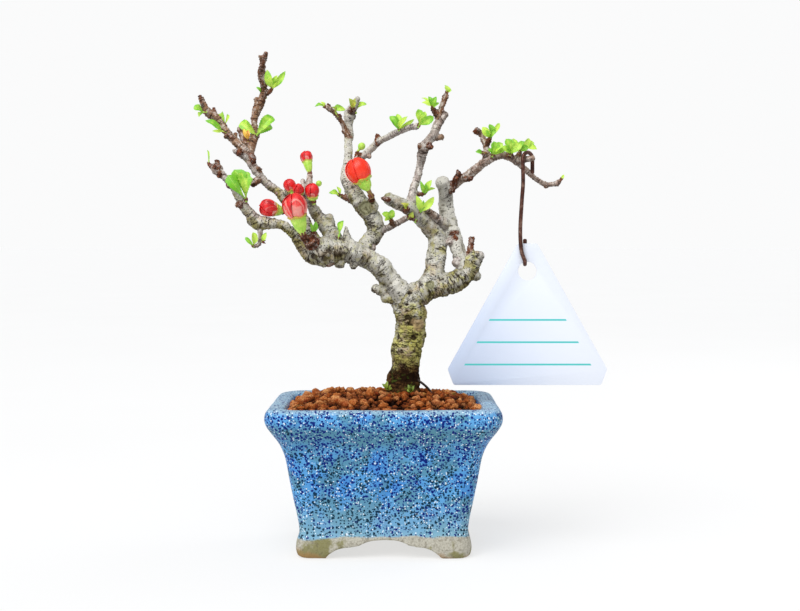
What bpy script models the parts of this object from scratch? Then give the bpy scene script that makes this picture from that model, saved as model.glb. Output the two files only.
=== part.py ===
"""A flowering quince bonsai in its glazed pot, with a plain tag hung on a wire hook.

The pot stands on Z = 0, the front faces -Y, and X = 0 is midway between the leftmost leaf and
the tag's right corner. Everything is written in millimetres and made in metres by MM.
"""

import math
import random

import bmesh
import bpy
from mathutils import Matrix, Vector, noise
from mathutils.bvhtree import BVHTree

MM = 0.001
GAP = 0.3  # clearance between pieces that touch
SLIVER = 0.005  # edges shorter than this are closed up

# The tree is laid out as it shows from the front, on the plane through the trunk, from an eye
# this far before that plane and this far above the table.
EYE_BEFORE = 620.0
EYE_ABOVE = 149.0

# The crown also spreads in depth: round each place of the front view, how far it swings back.
# Each is (across, up, reach, swing).
SWINGS = (
    (-72, 226, 36, 20), (-88, 184, 22, -15), (-48, 164, 16, -4), (-24, 208, 24, 13),
    (13, 210, 20, -8), (28, 168, 20, 13), (-2, 176, 14, -7), (38, 134, 16, 6),
)

POT_X = -7.8
POT_HALF_WIDTH = 56.0
POT_HALF_DEPTH = 45.0
POT_CORNER = 13.0
CORNER_LOSS = 0.45  # how much tighter the corners are for each millimetre that the pot is narrower
LEAST_CORNER = 3.0
POT_HEIGHT = 72.0
CORNER_STEPS = 3
# Height and half width, from the underside of a foot up to the lip. The waist is above the feet.
POT_OUTSIDE = (
    (0.0, 39.4), (1.2, 40.6), (4.5, 41.4), (8.6, 40.7), (11.6, 39.4), (18.0, 40.1), (27.6, 42.1),
    (37.0, 44.0), (46.4, 45.8), (51.5, 47.6), (56.0, 50.1), (60.6, 53.3), (64.2, 55.4),
    (67.4, POT_HALF_WIDTH), (70.2, 55.3), (71.7, 53.6), (POT_HEIGHT, 51.2), (71.4, 47.4),
)
CAVITY_TOP = (68.0, 45.8)
CAVITY_FLOOR = (14.5, 33.5)
FOOT_RECESS_TOP = 9.5
FOOT_RECESS_HALF_WIDTH = 34.0
# Half of the arch between two feet: distance from the middle, and height.
ARCH = ((28.0, -2.0), (27.2, 0.4), (25.3, 2.4), (22.0, 4.5), (18.5, 5.3), (12.5, 6.0), (9.5, 7.4),
        (6.0, 8.5), (0.0, 8.8))
SIDE_ARCH_SHARE = 0.68
ARCH_REACH = 80.0  # how far the arch's cutter goes to each side
DRAIN_RADIUS = 5.0
DRAIN_OUT = 17.0
DRAIN_CUT = (5.0, 20.0)  # from under the floor to above it
ROUND_SIDES = 20  # faces round a hole
MESH_SIDE = 15.0
MESH_THICK = 1.2
MESH_CELLS = 3
MESH_BAR = 0.9

SOIL_EDGE = 67.4
SOIL_RISE = 5.6
SOIL_MOUND = (45.0, 35.0)  # where the mound runs out, across and in depth
SOIL_CELLS = (28, 20)
# Every second point of the soil's grid is the top of a granule, larger than life.
GRANULE_RISE = (1.8, 3.4)
GRANULE_DIP = 0.7
GRANULE_SHIFT = 0.7

# Each limb is a list of points: across, up, depth behind the trunk's plane, radius.
LIMBS = {
    "trunk": ((0.5, 58.6, 0, 4.0), (1, 66.6, 0, 9.0), (1.5, 78.6, 0, 8.2), (3, 89.6, 0, 7.2),
              (3.4, 97.6, 0, 7.6), (5, 103.1, 0, 7.3), (5.5, 111.1, 0, 7.6), (5, 116.6, 0, 8.1),
              (4, 122.1, 0, 7.4)),
    "left_limb": ((3, 120.6, 0, 6.6), (0, 126, -1, 5.8), (-6, 133, -2, 4.9),
                  (-10, 138.5, -3, 5.1), (-17, 142.5, -4, 4.8), (-24, 146, -5, 5.6),
                  (-31, 147, -6, 6.6), (-39, 146, -8, 7.2), (-44.5, 145.7, -8, 5.4),
                  (-47.5, 149.2, -8, 3.7)),
    "low_left_branch": ((-46.5, 147, -8, 4.0), (-51.5, 153.5, -9, 2.8), (-56, 157.5, -10, 2.3),
                        (-60, 159.8, -10, 2.3), (-67, 160.3, -9, 3.0), (-72.3, 161.3, -8, 3.5),
                        (-75, 165, -7, 2.6), (-78, 168.5, -6, 2.5), (-80, 172.5, -5, 2.2),
                        (-83.3, 178.5, -4, 2.0), (-86.5, 182.2, -3, 1.9), (-89.5, 185.3, -2, 1.9),
                        (-91.5, 187.2, -1.5, 3.1), (-92.3, 189, -1.5, 1.9)),
    "upper_left_branch": ((-43, 150, -4, 4.2), (-46.5, 158, -1, 3.1), (-48.5, 162.5, 2, 2.8),
                          (-53, 168, 4, 2.6), (-57.5, 172.5, 4, 2.7), (-62, 177, 4, 2.2),
                          (-66, 179.6, 4, 2.1), (-70.7, 185, 4, 2.0), (-74.5, 191, 4, 2.2),
                          (-75.5, 196.6, 4, 2.6)),
    "far_left_twig": ((-75.5, 195.2, 4, 2.4), (-79.5, 198.5, 3, 2.3), (-83, 201.8, 2, 2.0),
                      (-86.5, 206, 1, 1.8), (-89.3, 209.5, 0, 1.8), (-92, 213, -1, 2.2),
                      (-95.5, 215.3, -1, 2.2), (-97.7, 218.6, -1, 1.8), (-99.5, 222.8, -1, 1.5)),
    "crown_left_twig": ((-75.5, 195.2, 4, 2.5), (-74, 201.5, 5, 2.5), (-72.5, 204.8, 6, 2.1),
                        (-72.8, 211, 7, 1.5), (-72, 216, 8, 2.1), (-70.3, 219.5, 8, 2.6),
                        (-68.5, 224, 8, 2.0), (-68, 227.5, 8, 1.8), (-68.2, 231, 7, 2.2),
                        (-69, 234.5, 7, 2.2), (-69, 239, 6, 1.5), (-67.8, 243, 6, 1.5),
                        (-67, 245.5, 6, 1.3)),
    "bud_branch": ((-32, 149.5, -4, 4.6), (-35, 156, 0, 4.0), (-38, 160.5, 2, 3.6),
                   (-41.5, 165, 2, 3.0), (-44.5, 169.5, 0, 2.5), (-46.3, 173.5, -2, 2.3),
                   (-45.5, 177.5, -2, 1.9), (-45.3, 181, -2, 1.6), (-45, 184, -2, 1.5)),
    "middle_branch": ((-20, 144, -2, 4.0), (-16, 150.5, 3, 3.9), (-12.8, 154.5, 5, 4.2),
                      (-12.3, 159, 6, 4.5), (-14.5, 164, 6, 4.4), (-18.5, 169, 5, 4.5),
                      (-22, 173.8, 4, 4.3), (-24.5, 179, 3, 4.0), (-26.8, 183.5, 3, 3.1),
                      (-26.3, 189.5, 3, 2.4), (-25.7, 194, 4, 2.1), (-25.8, 200.5, 6, 2.1),
                      (-25.5, 204, 7, 2.4), (-25.5, 209, 8, 2.0), (-25.3, 213.5, 9, 2.9),
                      (-24.8, 216.5, 10, 2.7), (-22.5, 219.5, 11, 1.9), (-21, 223, 12, 1.5)),
    "fine_twig": ((-25.5, 203, 6, 1.9), (-27.5, 207.5, 4, 1.4), (-29.5, 211.5, 2, 1.2),
                  (-33, 215.8, 0, 1.2), (-36.5, 218.3, -2, 1.5)),
    "slant_twig": ((-26, 188.6, 3, 2.0), (-21.5, 192, 1, 1.9), (-18.5, 193.8, 0, 1.8),
                   (-15, 197, -1, 1.8), (-10.7, 201.1, -2, 1.7), (-5, 204, -3, 1.6),
                   (1.2, 206.9, -4, 1.5), (5.5, 208.3, -5, 1.5), (8.7, 208.9, -5, 1.8)),
    "cross_twig": ((-12, 156, 4, 2.1), (-5, 158.5, 6, 1.6), (-1, 160.5, 7, 1.5),
                   (3.5, 163, 8, 1.5)),
    "right_limb": ((3, 119, 0, 6.8), (8, 124, 0, 6.5), (13.5, 127, 0, 5.7),
                   (20, 129, -1, 5.6), (27, 131, -2, 5.4), (33, 135, -2, 5.1),
                   (35.5, 140, -2, 4.9), (37, 144, -2, 3.9)),
    "rising_limb": ((11, 125.6, 0, 5.2), (16, 132, 1, 5.6), (17.5, 138, 2, 5.2),
                    (18.3, 144.5, 2, 4.8), (18.7, 149.5, 2, 4.7), (18.3, 153.2, 2, 4.6),
                    (15.5, 157.5, 1, 4.1), (11.5, 162, 0, 3.8), (7.5, 165.5, -1, 3.5),
                    (3, 168.5, -2, 3.3), (-1.5, 170.5, -3, 3.2), (-6.2, 172.8, -5, 3.1)),
    "front_twig": ((7, 164.6, -1, 2.6), (5.8, 170.5, 0, 2.5), (6.5, 176.5, 1, 2.1),
                   (8.5, 182.5, 2, 2.0), (10, 189, 3, 2.0), (11.3, 195.5, 3, 2.5),
                   (12.3, 198.8, 3, 2.8), (14, 201, 3, 2.2), (16.7, 204.8, 3, 2.1),
                   (19, 210, 3, 2.1), (21.3, 213.5, 3, 2.2), (23, 215.2, 3, 1.8)),
    "front_twig_tip": ((19.3, 212, 3, 1.9), (20.3, 216.5, 2, 1.4), (21.8, 221, 1, 1.3),
                       (23, 224.2, 0, 1.6)),
    "tall_stub": ((32, 136.6, -2, 3.6), (30, 143.5, -1, 3.5), (28, 150.5, 0, 3.8),
                  (25.5, 158.5, 1, 3.9), (23.3, 166, 1, 4.0), (23, 171.5, 1, 3.7),
                  (22.5, 177, 1, 3.7), (20.9, 181.5, 1, 3.4)),
    "tag_branch": ((23, 177, 1, 2.5), (27, 179.7, 0, 2.6), (30, 182, 0, 2.2),
                   (34, 184.3, -1, 2.2), (38.5, 187.8, -2, 2.2), (43, 191.3, -3, 2.2),
                   (47.5, 193.3, -3, 1.8), (51.5, 194.3, -4, 1.8), (55, 193.3, -4, 2.0),
                   (58.3, 191.5, -3, 2.0), (61.5, 188.3, -2, 1.5), (64.3, 185.8, -1, 1.4),
                   (68, 182.5, 0, 1.3), (72.5, 179.8, 1, 1.3), (76, 179.8, 1, 1.2),
                   (79, 180.3, 1, 1.6)),
    "tag_branch_side": ((42.6, 190.2, -3, 2.1), (43.3, 197.5, -2, 1.7), (41.8, 202.5, -1, 1.5),
                        (40.5, 205.8, 0, 1.6)),
    "hanging_twig": ((-70, 159, -9, 1.5), (-69.8, 153, -10, 1.1), (-70.6, 149.6, -10, 1.0),
                     (-72.6, 148.8, -10.5, 1.1)),
}

# Short growths on the limbs: spurs, cut stubs, scars and knobs, as two points of a limb.
SPURS = (
    ((-8, 126, -2, 2.7), (-13, 127.8, -3, 2.3)),
    ((-4, 123, -1, 3.0), (-8.2, 123.3, -2, 2.6)),
    ((-30, 143, -7, 3.0), (-30, 139, -8, 2.5)),
    ((-23, 142, -6, 2.4), (-23.3, 138.5, -6, 1.9)),
    ((-26.5, 152, -5, 2.5), (-27.1, 158.8, -5, 0.6)),
    ((-34.5, 159, 1, 2.4), (-35.3, 164, 0, 2.0)),
    ((-42.5, 149, -10, 3.4), (-45.0, 151.5, -14.5, 3.0)),
    ((-45.0, 151, -14, 2.4), (-47.6, 152.8, -16, 1.8)),
    ((-43.5, 151.5, -12, 2.0), (-43.2, 155.2, -12, 1.4)),
    ((-47, 174, -1, 1.6), (-48.7, 182, 0, 1.1)),
    ((-46.5, 173.5, -2, 1.9), (-50.8, 174.2, -4, 1.5)),
    ((-45.9, 171.6, -1.4, 2.1), (-44.2, 172.5, -5, 1.4)),
    ((-55, 169, 4, 1.9), (-57.6, 166.5, -4, 1.4)),
    ((-57.5, 174, 4, 2.2), (-56.5, 176.2, 1, 2.0)),
    ((-69.5, 182.5, 4, 1.5), (-74, 180.3, 3, 2.0)),
    ((-74.8, 191.6, 4, 1.9), (-83, 196.6, 4, 1.3)),
    ((-76.5, 198, 4, 1.7), (-80.2, 207.6, 3, 1.4)),
    ((-70.8, 218.5, 8, 1.9), (-71.9, 222.8, 8, 1.3)),
    ((-69, 241, 6, 1.0), (-70.3, 244.2, 5, 0.7)),
    ((-67.8, 224.2, 8, 1.4), (-64.6, 226.6, 7.5, 1.2)),
    ((-72.6, 203.5, 6, 2.0), (-72.0, 204.2, 3.6, 1.5)),
    ((-92.4, 214, -1, 1.3), (-93.1, 217.6, -1, 0.9)),
    ((-86, 205, 1, 1.1), (-87.6, 203.2, 0, 0.8)),
    ((-83, 202, 2, 1.4), (-82.3, 205, 2, 1.0)),
    ((-91.5, 187.5, -1.5, 1.7), (-91.4, 191.6, -1.5, 1.1)),
    ((-92, 187.5, -1.5, 1.9), (-95.2, 189.2, -2, 1.0)),
    ((-79.5, 170, -6, 1.6), (-77.2, 171.2, -7, 1.2)),
    ((-79, 169.5, -6, 1.4), (-82, 169.6, -6, 1.0)),
    ((-82.5, 177, -4, 1.3), (-81.3, 178.2, -5, 1.0)),
    ((-14.5, 167, 5, 3.0), (-13.6, 169.2, 1.8, 2.9)),
    ((-15, 149.5, 2, 2.5), (-13.6, 147.4, 1, 2.0)),
    ((-25.0, 172.2, 4, 2.0), (-29.6, 173.9, 2, 1.1)),
    ((-13.8, 170.2, 4, 1.8), (-14.3, 173.4, -2, 1.3)),
    ((-21.8, 191.5, 1, 1.5), (-21.3, 195.5, 0, 1.1)),
    ((-11.2, 200.5, -2, 1.7), (-11.0, 204, -2, 1.5)),
    ((-16.5, 195.6, 0, 1.4), (-15.2, 193.2, -1, 1.0)),
    ((-35.0, 217.4, -1, 1.4), (-36.0, 219.6, -1, 1.0)),
    ((-24.4, 216, 9, 2.2), (-23.9, 217.5, 6.9, 1.7)),
    ((-3.4, 159.5, 6, 1.5), (-4.4, 161.8, 5, 1.2)),
    ((37, 143, -2, 3.2), (40.4, 144.5, -2, 2.4)),
    ((34.5, 135, -2, 3.4), (38.9, 133.8, -2, 2.6)),
    ((35.0, 144, -3, 1.9), (35.8, 153, -3, 1.5)),
    ((29.6, 142, -2, 2.7), (27.7, 139.8, -2.5, 2.1)),
    ((23.5, 159, 0, 2.9), (18.2, 162.8, -3, 2.2)),
    ((18.6, 162.5, -3, 2.2), (12.9, 167.8, -5, 1.2)),
    ((27, 154.6, 0, 2.6), (27.4, 154.7, -4, 1.9)),
    ((26, 151.5, 0, 2.6), (24.4, 150.6, -3.4, 1.9)),
    ((12.3, 198.6, 3, 2.2), (9.6, 198.8, 2, 1.7)),
    ((13.5, 199.2, 3, 2.0), (15.2, 198.8, 1, 1.5)),
    ((16.6, 202.6, 3, 1.3), (21.3, 203.4, 2, 1.6)),
    ((19, 213.5, 3, 1.6), (16.4, 217.6, 1, 1.3)),
    ((6.5, 175, 1, 1.6), (11.6, 174.8, -2, 1.1)),
    ((6.5, 165, -2, 2.0), (9.4, 166.2, -4, 1.3)),
    ((3, 167.5, -2, 2.4), (2.6, 167.2, -5.2, 1.6)),
    ((6.5, 164, -1, 2.2), (4.9, 163.5, -4.4, 1.5)),
    ((28.5, 181, 0, 1.7), (29.3, 186.5, -1, 1.5)),
    ((40.6, 205.2, 0, 1.6), (37.9, 206.5, 0, 1.8)),
    ((42.9, 198.6, -2, 1.4), (44.7, 202.1, -3, 1.3)),
    ((43.2, 194, -3, 1.6), (41.6, 195.2, -5, 1.0)),
    ((46.5, 193, -3, 1.6), (46.4, 194, -5.2, 1.1)),
    ((55, 193.5, -4, 1.9), (55.2, 194.4, -6.6, 1.4)),
    ((58, 192, -3, 1.8), (59.9, 195.4, -3, 1.4)),
    ((57.6, 191.2, -2.8, 1.8), (66.6, 193, -11.2, 1.3)),
    ((78.4, 180.3, 1, 1.2), (80.2, 181.7, 0.6, 0.9)),
    ((72.6, 180, 1, 1.2), (73.0, 178, 0.6, 0.9)),
)

# Distance between a tube's rings, in radii.
LIMB_SPACING = 2.4
SPUR_SPACING = 4.0
LEAST_STEP = 1.6
SPUR_SIDES = 5
# A limb thicker than this has so many sides.
LIMB_SIDES = ((6.0, 10), (4.2, 7), (0.0, 6))
BARK_ROUGH = 0.14  # how far the bark's lumps stand out, as a share of the radius
BARK_LUMPS = 260.0  # lumps in a metre
DOME_RISE = 0.45  # how far a round end stands out, in radii
DOME_SHARE = 0.6

# Roots that hold the trunk in the soil: turn about the trunk in degrees, and length.
ROOTS = ((20, 21), (105, 15), (190, 24), (285, 15))
# Along a root: share of its length, height, radius.
ROOT_SHAPE = ((0.12, 63, 3.4), (0.45, 61, 2.6), (0.8, 56, 1.8), (1.0, 48, 1.0))
ROOT_FLATTEN = 0.8  # the pot is narrower in depth
ROOT_SIDES = 5

# Flower buds: foot of the calyx, centre of the petals' ball (both as across, up, depth), the
# ball's radius and the calyx's radius at its widest.
BUDS = {
    "top": ((-45.0, 185, -2), (-46.7, 193.2, -2.4), 3.2, 2.3),
    "inner_left": ((-52.4, 174.4, -4.6), (-55.0, 179.6, -7), 2.8, 1.9),
    "inner_middle": ((-49.6, 175.8, -5.6), (-50.0, 179.2, -9.8), 2.7, 1.9),
    "inner_right": ((-43.9, 173.2, -6.4), (-42.4, 177.6, -8.6), 3.2, 2.2),
    "low_left": ((-58.6, 166.2, -4.8), (-65.6, 167.9, -9), 4.4, 2.7),
    "low_front": ((-48.9, 153.8, -17.4), (-52.4, 168.4, -20.5), 6.1, 4.3),
    "middle": ((-14.6, 174.5, -3.4), (-20.6, 186.2, -10.4), 6.3, 3.3),
}
SMALL_BUD = 4.0  # a smaller ball has fewer faces
BALL_GRID = (7, 15)  # steps from end to end, and sides
SMALL_BALL_GRID = (5, 10)
BALL_ENDS = (0.06, 0.96)  # where the ball is cut off, as shares of the half turn over it
BALL_TAPER = 0.1
EGG = 1.12  # how much longer than wide the ball is
PETALS = 5
PETAL_RIDGE = 0.09  # how far a petal's edge stands out from the next one, as a share of the radius
PETAL_SINK = 0.05
# The calyx from its stalk up: radius against its widest at the first two rings, then how far past
# the ball's near end the widest and the open rim stand, in the ball's radii.
CALYX_STALK = (0.6, 0.86)
CALYX_RISES = (0.25, 0.75)
CALYX_RIM = 0.92
CALYX_LOBE = 0.07
THINNEST = 0.7
# Buds that are still green balls: foot, centre, radius.
GREEN_BUDS = {
    "slant": ((-21.0, 196.4, -0.4), (-19.2, 198.8, -0.8), 1.9),
    "spur": ((-43.6, 175.6, -1.6), (-40.6, 180.2, -3.4), 1.5),
}
GREEN_STEPS = (0.2, 0.42, 0.66, 0.88)  # rings over the ball, as shares of the half turn

# Leaf tufts: the root, then each leaf's tip and its width.
TUFTS = {
    "far_left_tip": ((-98.6, 215.8, -2), ((-103.2, 218.5, -4), 3.6), ((-101.0, 214.2, 1), 2.2)),
    "far_left_under": ((-89.2, 206.4, -1), ((-97, 212, -5), 3.4), ((-93.6, 206.5, -3), 1.6)),
    "far_left_back": ((-87.6, 210, 1.6), ((-90, 215.8, 6), 3.4), ((-86.0, 215.3, 4), 1.6)),
    "crown_left": ((-64.0, 227.8, 7), ((-66.4, 236.8, 4), 5.2), ((-57.4, 236.1, 7), 4.0)),
    "crown_left_small": ((-69.6, 226, 7), ((-71.6, 228.4, 5), 1.8),),
    "fork_left": ((-71.8, 204.4, 2.4), ((-79.8, 211, 0), 5.4), ((-63.7, 214, -2), 5.8),
                  ((-64.2, 209.8, 3), 3.8)),
    "fork_bud": ((-76.2, 202.2, 1), ((-77.6, 207.2, -4), 3.0), ((-75.2, 206.5, -3.4), 2.2)),
    "low_left_fan": ((-77.0, 172.2, -7.6), ((-85, 184, -10), 6.8), ((-79.2, 185.9, -13), 6.8),
                     ((-74.8, 183, -9), 3.8)),
    "low_left_sprout": ((-95.6, 190, -2.2), ((-95.4, 196.8, -2.6), 1.4),),
    "hanging": ((-73.4, 149.2, -10.8), ((-73.2, 155.6, -12.6), 3.4), ((-77.2, 153.2, -12), 2.0)),
    "hanging_small": ((-68.6, 151.2, -10.4), ((-67.0, 155.6, -11.6), 2.4),),
    "spur_front": ((-43.1, 156, -12.4), ((-42, 161, -14), 2.8), ((-44.6, 160, -15), 2.2)),
    "limb_top": ((-30.2, 155.2, -6), ((-28.6, 162, -3), 3.0),),
    "middle_left": ((-30.2, 174.2, 1.4), ((-35.4, 175.8, 0), 3.0), ((-31.4, 178.8, 1), 1.8)),
    "fine_twig_tip": ((-37.6, 218.5, -2.2), ((-42.4, 219.1, -4), 2.4), ((-39.6, 221, -3), 1.8)),
    "fine_twig_bud": ((-32.2, 215.8, -1.2), ((-33.8, 218.6, -2.6), 1.9),),
    "middle_top_left": ((-26.9, 216.8, 10.6), ((-33.2, 218.5, 13), 3.4),),
    "middle_top_right": ((-21.6, 218.2, 11.6), ((-16.8, 220.2, 14), 3.0),),
    "middle_top": ((-23.9, 218.4, 6.2), ((-25.2, 222.6, 3.6), 3.4), ((-22.6, 222.6, 4.6), 2.6)),
    "slant_twig_side": ((-0.4, 207.6, -5.6), ((-4.6, 213.6, -9), 5.2), ((-1.0, 214.5, -4.6), 4.2),
                        ((3.1, 212.8, -8), 3.8), ((7.0, 212.2, -2.6), 2.8)),
    "slant_twig_end": ((9.7, 209.7, -6.2), ((9.3, 216.5, -10), 5.4), ((16.0, 213.2, -9), 5.2)),
    "front_twig_spur": ((16.2, 218.5, 0.6), ((11.8, 221.5, -2), 3.4), ((17.0, 223.4, -2.6), 3.6),
                        ((11.2, 223.2, 1), 1.5)),
    "front_twig_tip": ((23.3, 225.5, -0.2), ((22.6, 229.4, -1.6), 3.0), ((25.0, 228.2, 0.4), 2.2)),
    "front_twig_low": ((12.3, 175.2, -2.6), ((10.8, 180.2, -5.4), 3.2), ((15.3, 180.3, -5), 4.0),
                       ((17.2, 178, -5.4), 2.6)),
    "rising_limb_top": ((9.9, 166.8, -4.8), ((8.4, 173.6, -7), 4.4), ((16.8, 173.2, -8), 5.2)),
    "rising_limb_bud": ((2.6, 167.6, -6.2), ((1.0, 170.4, -8.2), 2.6), ((4.2, 170.2, -8), 2.4)),
    "rising_limb_bud_low": ((4.9, 163.8, -5.4), ((6.4, 165.8, -7.6), 2.8),),
    "cross_twig": ((-4.7, 162.6, 4.4), ((-8.6, 165.2, 1.4), 3.2), ((-3.9, 166.8, 2.4), 3.2),
                   ((-7.5, 161.9, 2), 2.2)),
    "tag_branch_small": ((41.0, 195.6, -5.6), ((38.0, 196.2, -7), 2.4),),
    "tag_branch_side": ((45.0, 203, -3.4), ((42.6, 208.6, -6), 5.2), ((46.2, 209.6, -5), 3.8),
                        ((49.4, 210.2, -4), 2.6)),
    "tag_branch_middle": ((46.4, 194.6, -6), ((48.8, 200.6, -8.6), 6.2), ((52.2, 198.5, -7), 3.6)),
    "tag_branch_knee": ((55.3, 195.1, -7.4), ((54.8, 201.6, -10), 6.2), ((59.2, 199.8, -9), 5.0),
                        ((52.4, 197.4, -10), 2.8)),
    "tag_branch_hook": ((60.1, 196.5, -3), ((64.6, 201.6, -4), 4.2), ((68, 197.8, -4), 4.2),
                        ((62.6, 200.6, -0.6), 3.2)),
    "tag_branch_end": ((80.6, 182.4, 0.4), ((82.0, 184.6, 0), 1.4),),
}
YOUNG = ("fork_bud", "fine_twig_bud", "middle_top", "rising_limb_bud", "rising_limb_bud_low")
# Weeds that stand in the soil, in front of the trunk.
WEEDS = {
    "left": ((-7.2, 77.0, -9.4), ((-6.2, 82.4, -10.4), 2.4), ((-9.6, 80.8, -11), 2.6)),
    "front": ((5.6, 75.8, -11.6), ((3.0, 80.8, -13.0), 2.2), ((8.2, 79.4, -13.4), 2.4)),
}
WEED_STEM = 7.0
WEED_RADIUS = 0.7
WEED_HOLE = 2.5  # radius of its hole at the top
# Along a leaf from its root: share of the length, share of the half width.
LEAF_OUTLINE = ((0.0, 0.0), (0.42, 0.9), (0.76, 0.92))
LEAF_STALK = 0.38  # half the width of a leaf's stalk
LEAF_THICK = 0.8
LEAF_FACES = Vector((0.15, -1.0, 0.35))  # the way that a leaf's upper face looks
LEAF_FOLD = 0.64  # how far the edges lift, as a share of half the width
LEAF_ARCH = 0.14  # how far the rib bows, as a share of the length
LEAF_TIP = 0.12  # the tip against the last ring
LEAF_ROLL = 0.5  # the most that a leaf is turned about its rib
# A tuft's stem: its least and largest radius, and what each millimetre of leaf width adds.
STEM_RADII = (0.6, 1.0)
STEM_PER_WIDTH = 0.08
STEM_LEAST = 0.3
STEM_SPREAD = 0.7  # the share of the stem along which the leaves stand
MOST_REACH = 4.0  # a stem looks no further than this for the bark behind its foot

WIRE_RADIUS = 1.0
TAG_ACROSS = 63.7
TAG_DEPTH = -8.0
TAG_THICK = 1.0
# Right half of the tag's outline, from its middle: out, and up. The lower corners are cut off.
TAG_OUTLINE = ((4.8, 150.2), (39.4, 88.2), (36.4, 80.4))
TAG_HOLE_UP = 136.6
TAG_HOLE_RADIUS = 4.6
# The two sides of the hook's loop over its stub, the loop's height, and how far its end hangs down.
HOOK_LOOP = ((61.4, 192.1, -11.6), (66.2, 192.1, -5.8))
HOOK_CROWN = 3.6
HOOK_END = (6.4, 3.0)
# Down the shank: height, and shift to the side and to the front of the tag's hole.
HOOK_SHANK = ((170.0, -1.0, 0.6), (160.0, -0.9, 0.0), (150.0, -0.6, 0.0))
HOOK_STANDOFF = 1.9
HOOK_STEPS = 6  # straight pieces in each of the two bends

TIE_RADIUS = 0.6
WIRE_SIDES = 6
# Across, back and up: out of the trunk's foot, and down through the soil and a drain hole.
TIE_ROUTE = ((8.5, -3.0, 82.4), (12.0, -3.8, 80.0), (15.2, -3.8, 76.4), (17.2, -3.2, 70.0),
             (15.6, -1.2, 50.0), (10.6, -0.2, 30.0), (9.2, 0.0, 20.0), (9.2, 0.0, 11.5),
             (10.2, 0.0, 8.4), (13.0, 0.2, 7.4), (17.5, 0.4, 7.4))
TIE_SPACING = 9.0


def seen(across, up, depth):
    """The point that shows at (across, up) from the front, depth behind where the crown swings."""
    for centre, height, reach, swing in SWINGS:
        depth += swing * math.exp(-((across - centre) ** 2 + (up - height) ** 2) / reach**2)
    spread = 1 + depth / EYE_BEFORE
    return Vector((across * spread, depth, EYE_ABOVE + (up - EYE_ABOVE) * spread)) * MM


def material(name, colour, roughness, metallic=0.0):
    """A Principled material of one colour."""
    made = bpy.data.materials.new(name)
    made.use_nodes = True
    shader = made.node_tree.nodes["Principled BSDF"]
    shader.inputs["Base Color"].default_value = (*colour, 1)
    shader.inputs["Roughness"].default_value = roughness
    shader.inputs["Metallic"].default_value = metallic
    return made


def add_object(name, mesh, finish=None, smooth_below=40):
    """An object for a finished bmesh, shaded smooth where faces meet at a shallow angle."""
    data = bpy.data.meshes.new(name)
    bmesh.ops.recalc_face_normals(mesh, faces=mesh.faces)
    mesh.to_mesh(data)
    mesh.free()
    data.shade_smooth()
    data.set_sharp_from_angle(angle=math.radians(smooth_below))
    made = bpy.data.objects.new(name, data)
    bpy.context.scene.collection.objects.link(made)
    if finish:
        data.materials.append(finish)
    return made


def skin(mesh, rings, close_start=True, close_end=True):
    """Joins rings of points, all of one count, by quads, and caps the ends."""
    rows = [[mesh.verts.new(point) for point in ring] for ring in rings]
    for lower, upper in zip(rows, rows[1:]):
        for i in range(len(lower)):
            j = (i + 1) % len(lower)
            mesh.faces.new((lower[i], lower[j], upper[j], upper[i]))
    if close_start:
        mesh.faces.new(rows[0][::-1])
    if close_end:
        mesh.faces.new(rows[-1])
    return rows


def smooth_route(points, spacing):
    """Points (position, radius) along a smooth curve through the given ones."""
    padded = [points[0], *points, points[-1]]
    route = []
    for a, b, c, d in zip(padded, padded[1:], padded[2:], padded[3:]):
        length = (Vector(c[:3]) - Vector(b[:3])).length
        steps = max(1, round(length / max(spacing * (b[3] + c[3]) / 2, LEAST_STEP * MM)))
        for step in range(steps):
            t = step / steps
            route.append([
                0.5 * (2 * q + (r - p) * t + (2 * p - 5 * q + 4 * r - s) * t**2
                       + (3 * q - p - 3 * r + s) * t**3)
                for p, q, r, s in zip(a, b, c, d)
            ])
    route.append(list(points[-1]))
    return [(Vector(p[:3]), p[3]) for p in route]


def tube(mesh, route, sides, swell=0.0, rough=0.0, domed=True):
    """A round tube along a route of (position, radius), flat at its start, domed or flat at its end."""
    def direction(i):
        return (route[min(i + 1, len(route) - 1)][0] - route[max(i - 1, 0)][0]).normalized()

    side = direction(0).orthogonal().normalized()
    rings = []
    last = len(route) - 1
    for i, (centre, radius) in enumerate(route):
        along = direction(i)
        side = (side - along * side.dot(along)).normalized()
        other = along.cross(side)
        ring = []
        for k in range(sides):
            turn = 2 * math.pi * k / sides
            out = side * math.cos(turn) + other * math.sin(turn)
            lump = 1 + rough * noise.noise(centre * BARK_LUMPS + out)
            ring.append(centre + out * (radius * lump + swell))
        if i == 0:
            ring = [point - along * swell for point in ring]
        if i == last and not domed:
            ring = [point + along * swell for point in ring]
        rings.append(ring)
        if i == last and domed:
            top = centre + along * (DOME_RISE * radius + swell)
            rings.append([top + (point - centre) * DOME_SHARE for point in ring])
    skin(mesh, rings)


def limb_points(points):
    """A limb's points as positions in the part's frame, with radii in metres."""
    return [(*seen(across, up, depth), radius * MM) for across, up, depth, radius in points]


def sides_for(points):
    """More sides for a thick limb than for a twig."""
    thickest = max(point[3] for point in points)
    return next(sides for radius, sides in LIMB_SIDES if thickest > radius)


def union(name, pieces, finish):
    """One object joined from the pieces, which are used up."""
    made = pieces[0]
    if len(pieces) > 1:
        group = bpy.data.collections.new(name + "_pieces")
        bpy.context.scene.collection.children.link(group)
        for piece in pieces[1:]:
            bpy.context.scene.collection.objects.unlink(piece)
            group.objects.link(piece)
        apply_boolean(made, "UNION", group=group)
        for piece in pieces[1:]:
            bpy.data.objects.remove(piece)
        bpy.data.collections.remove(group)
    made.name = name
    made.data.materials.clear()
    if finish:
        made.data.materials.append(finish)
    return made


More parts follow.
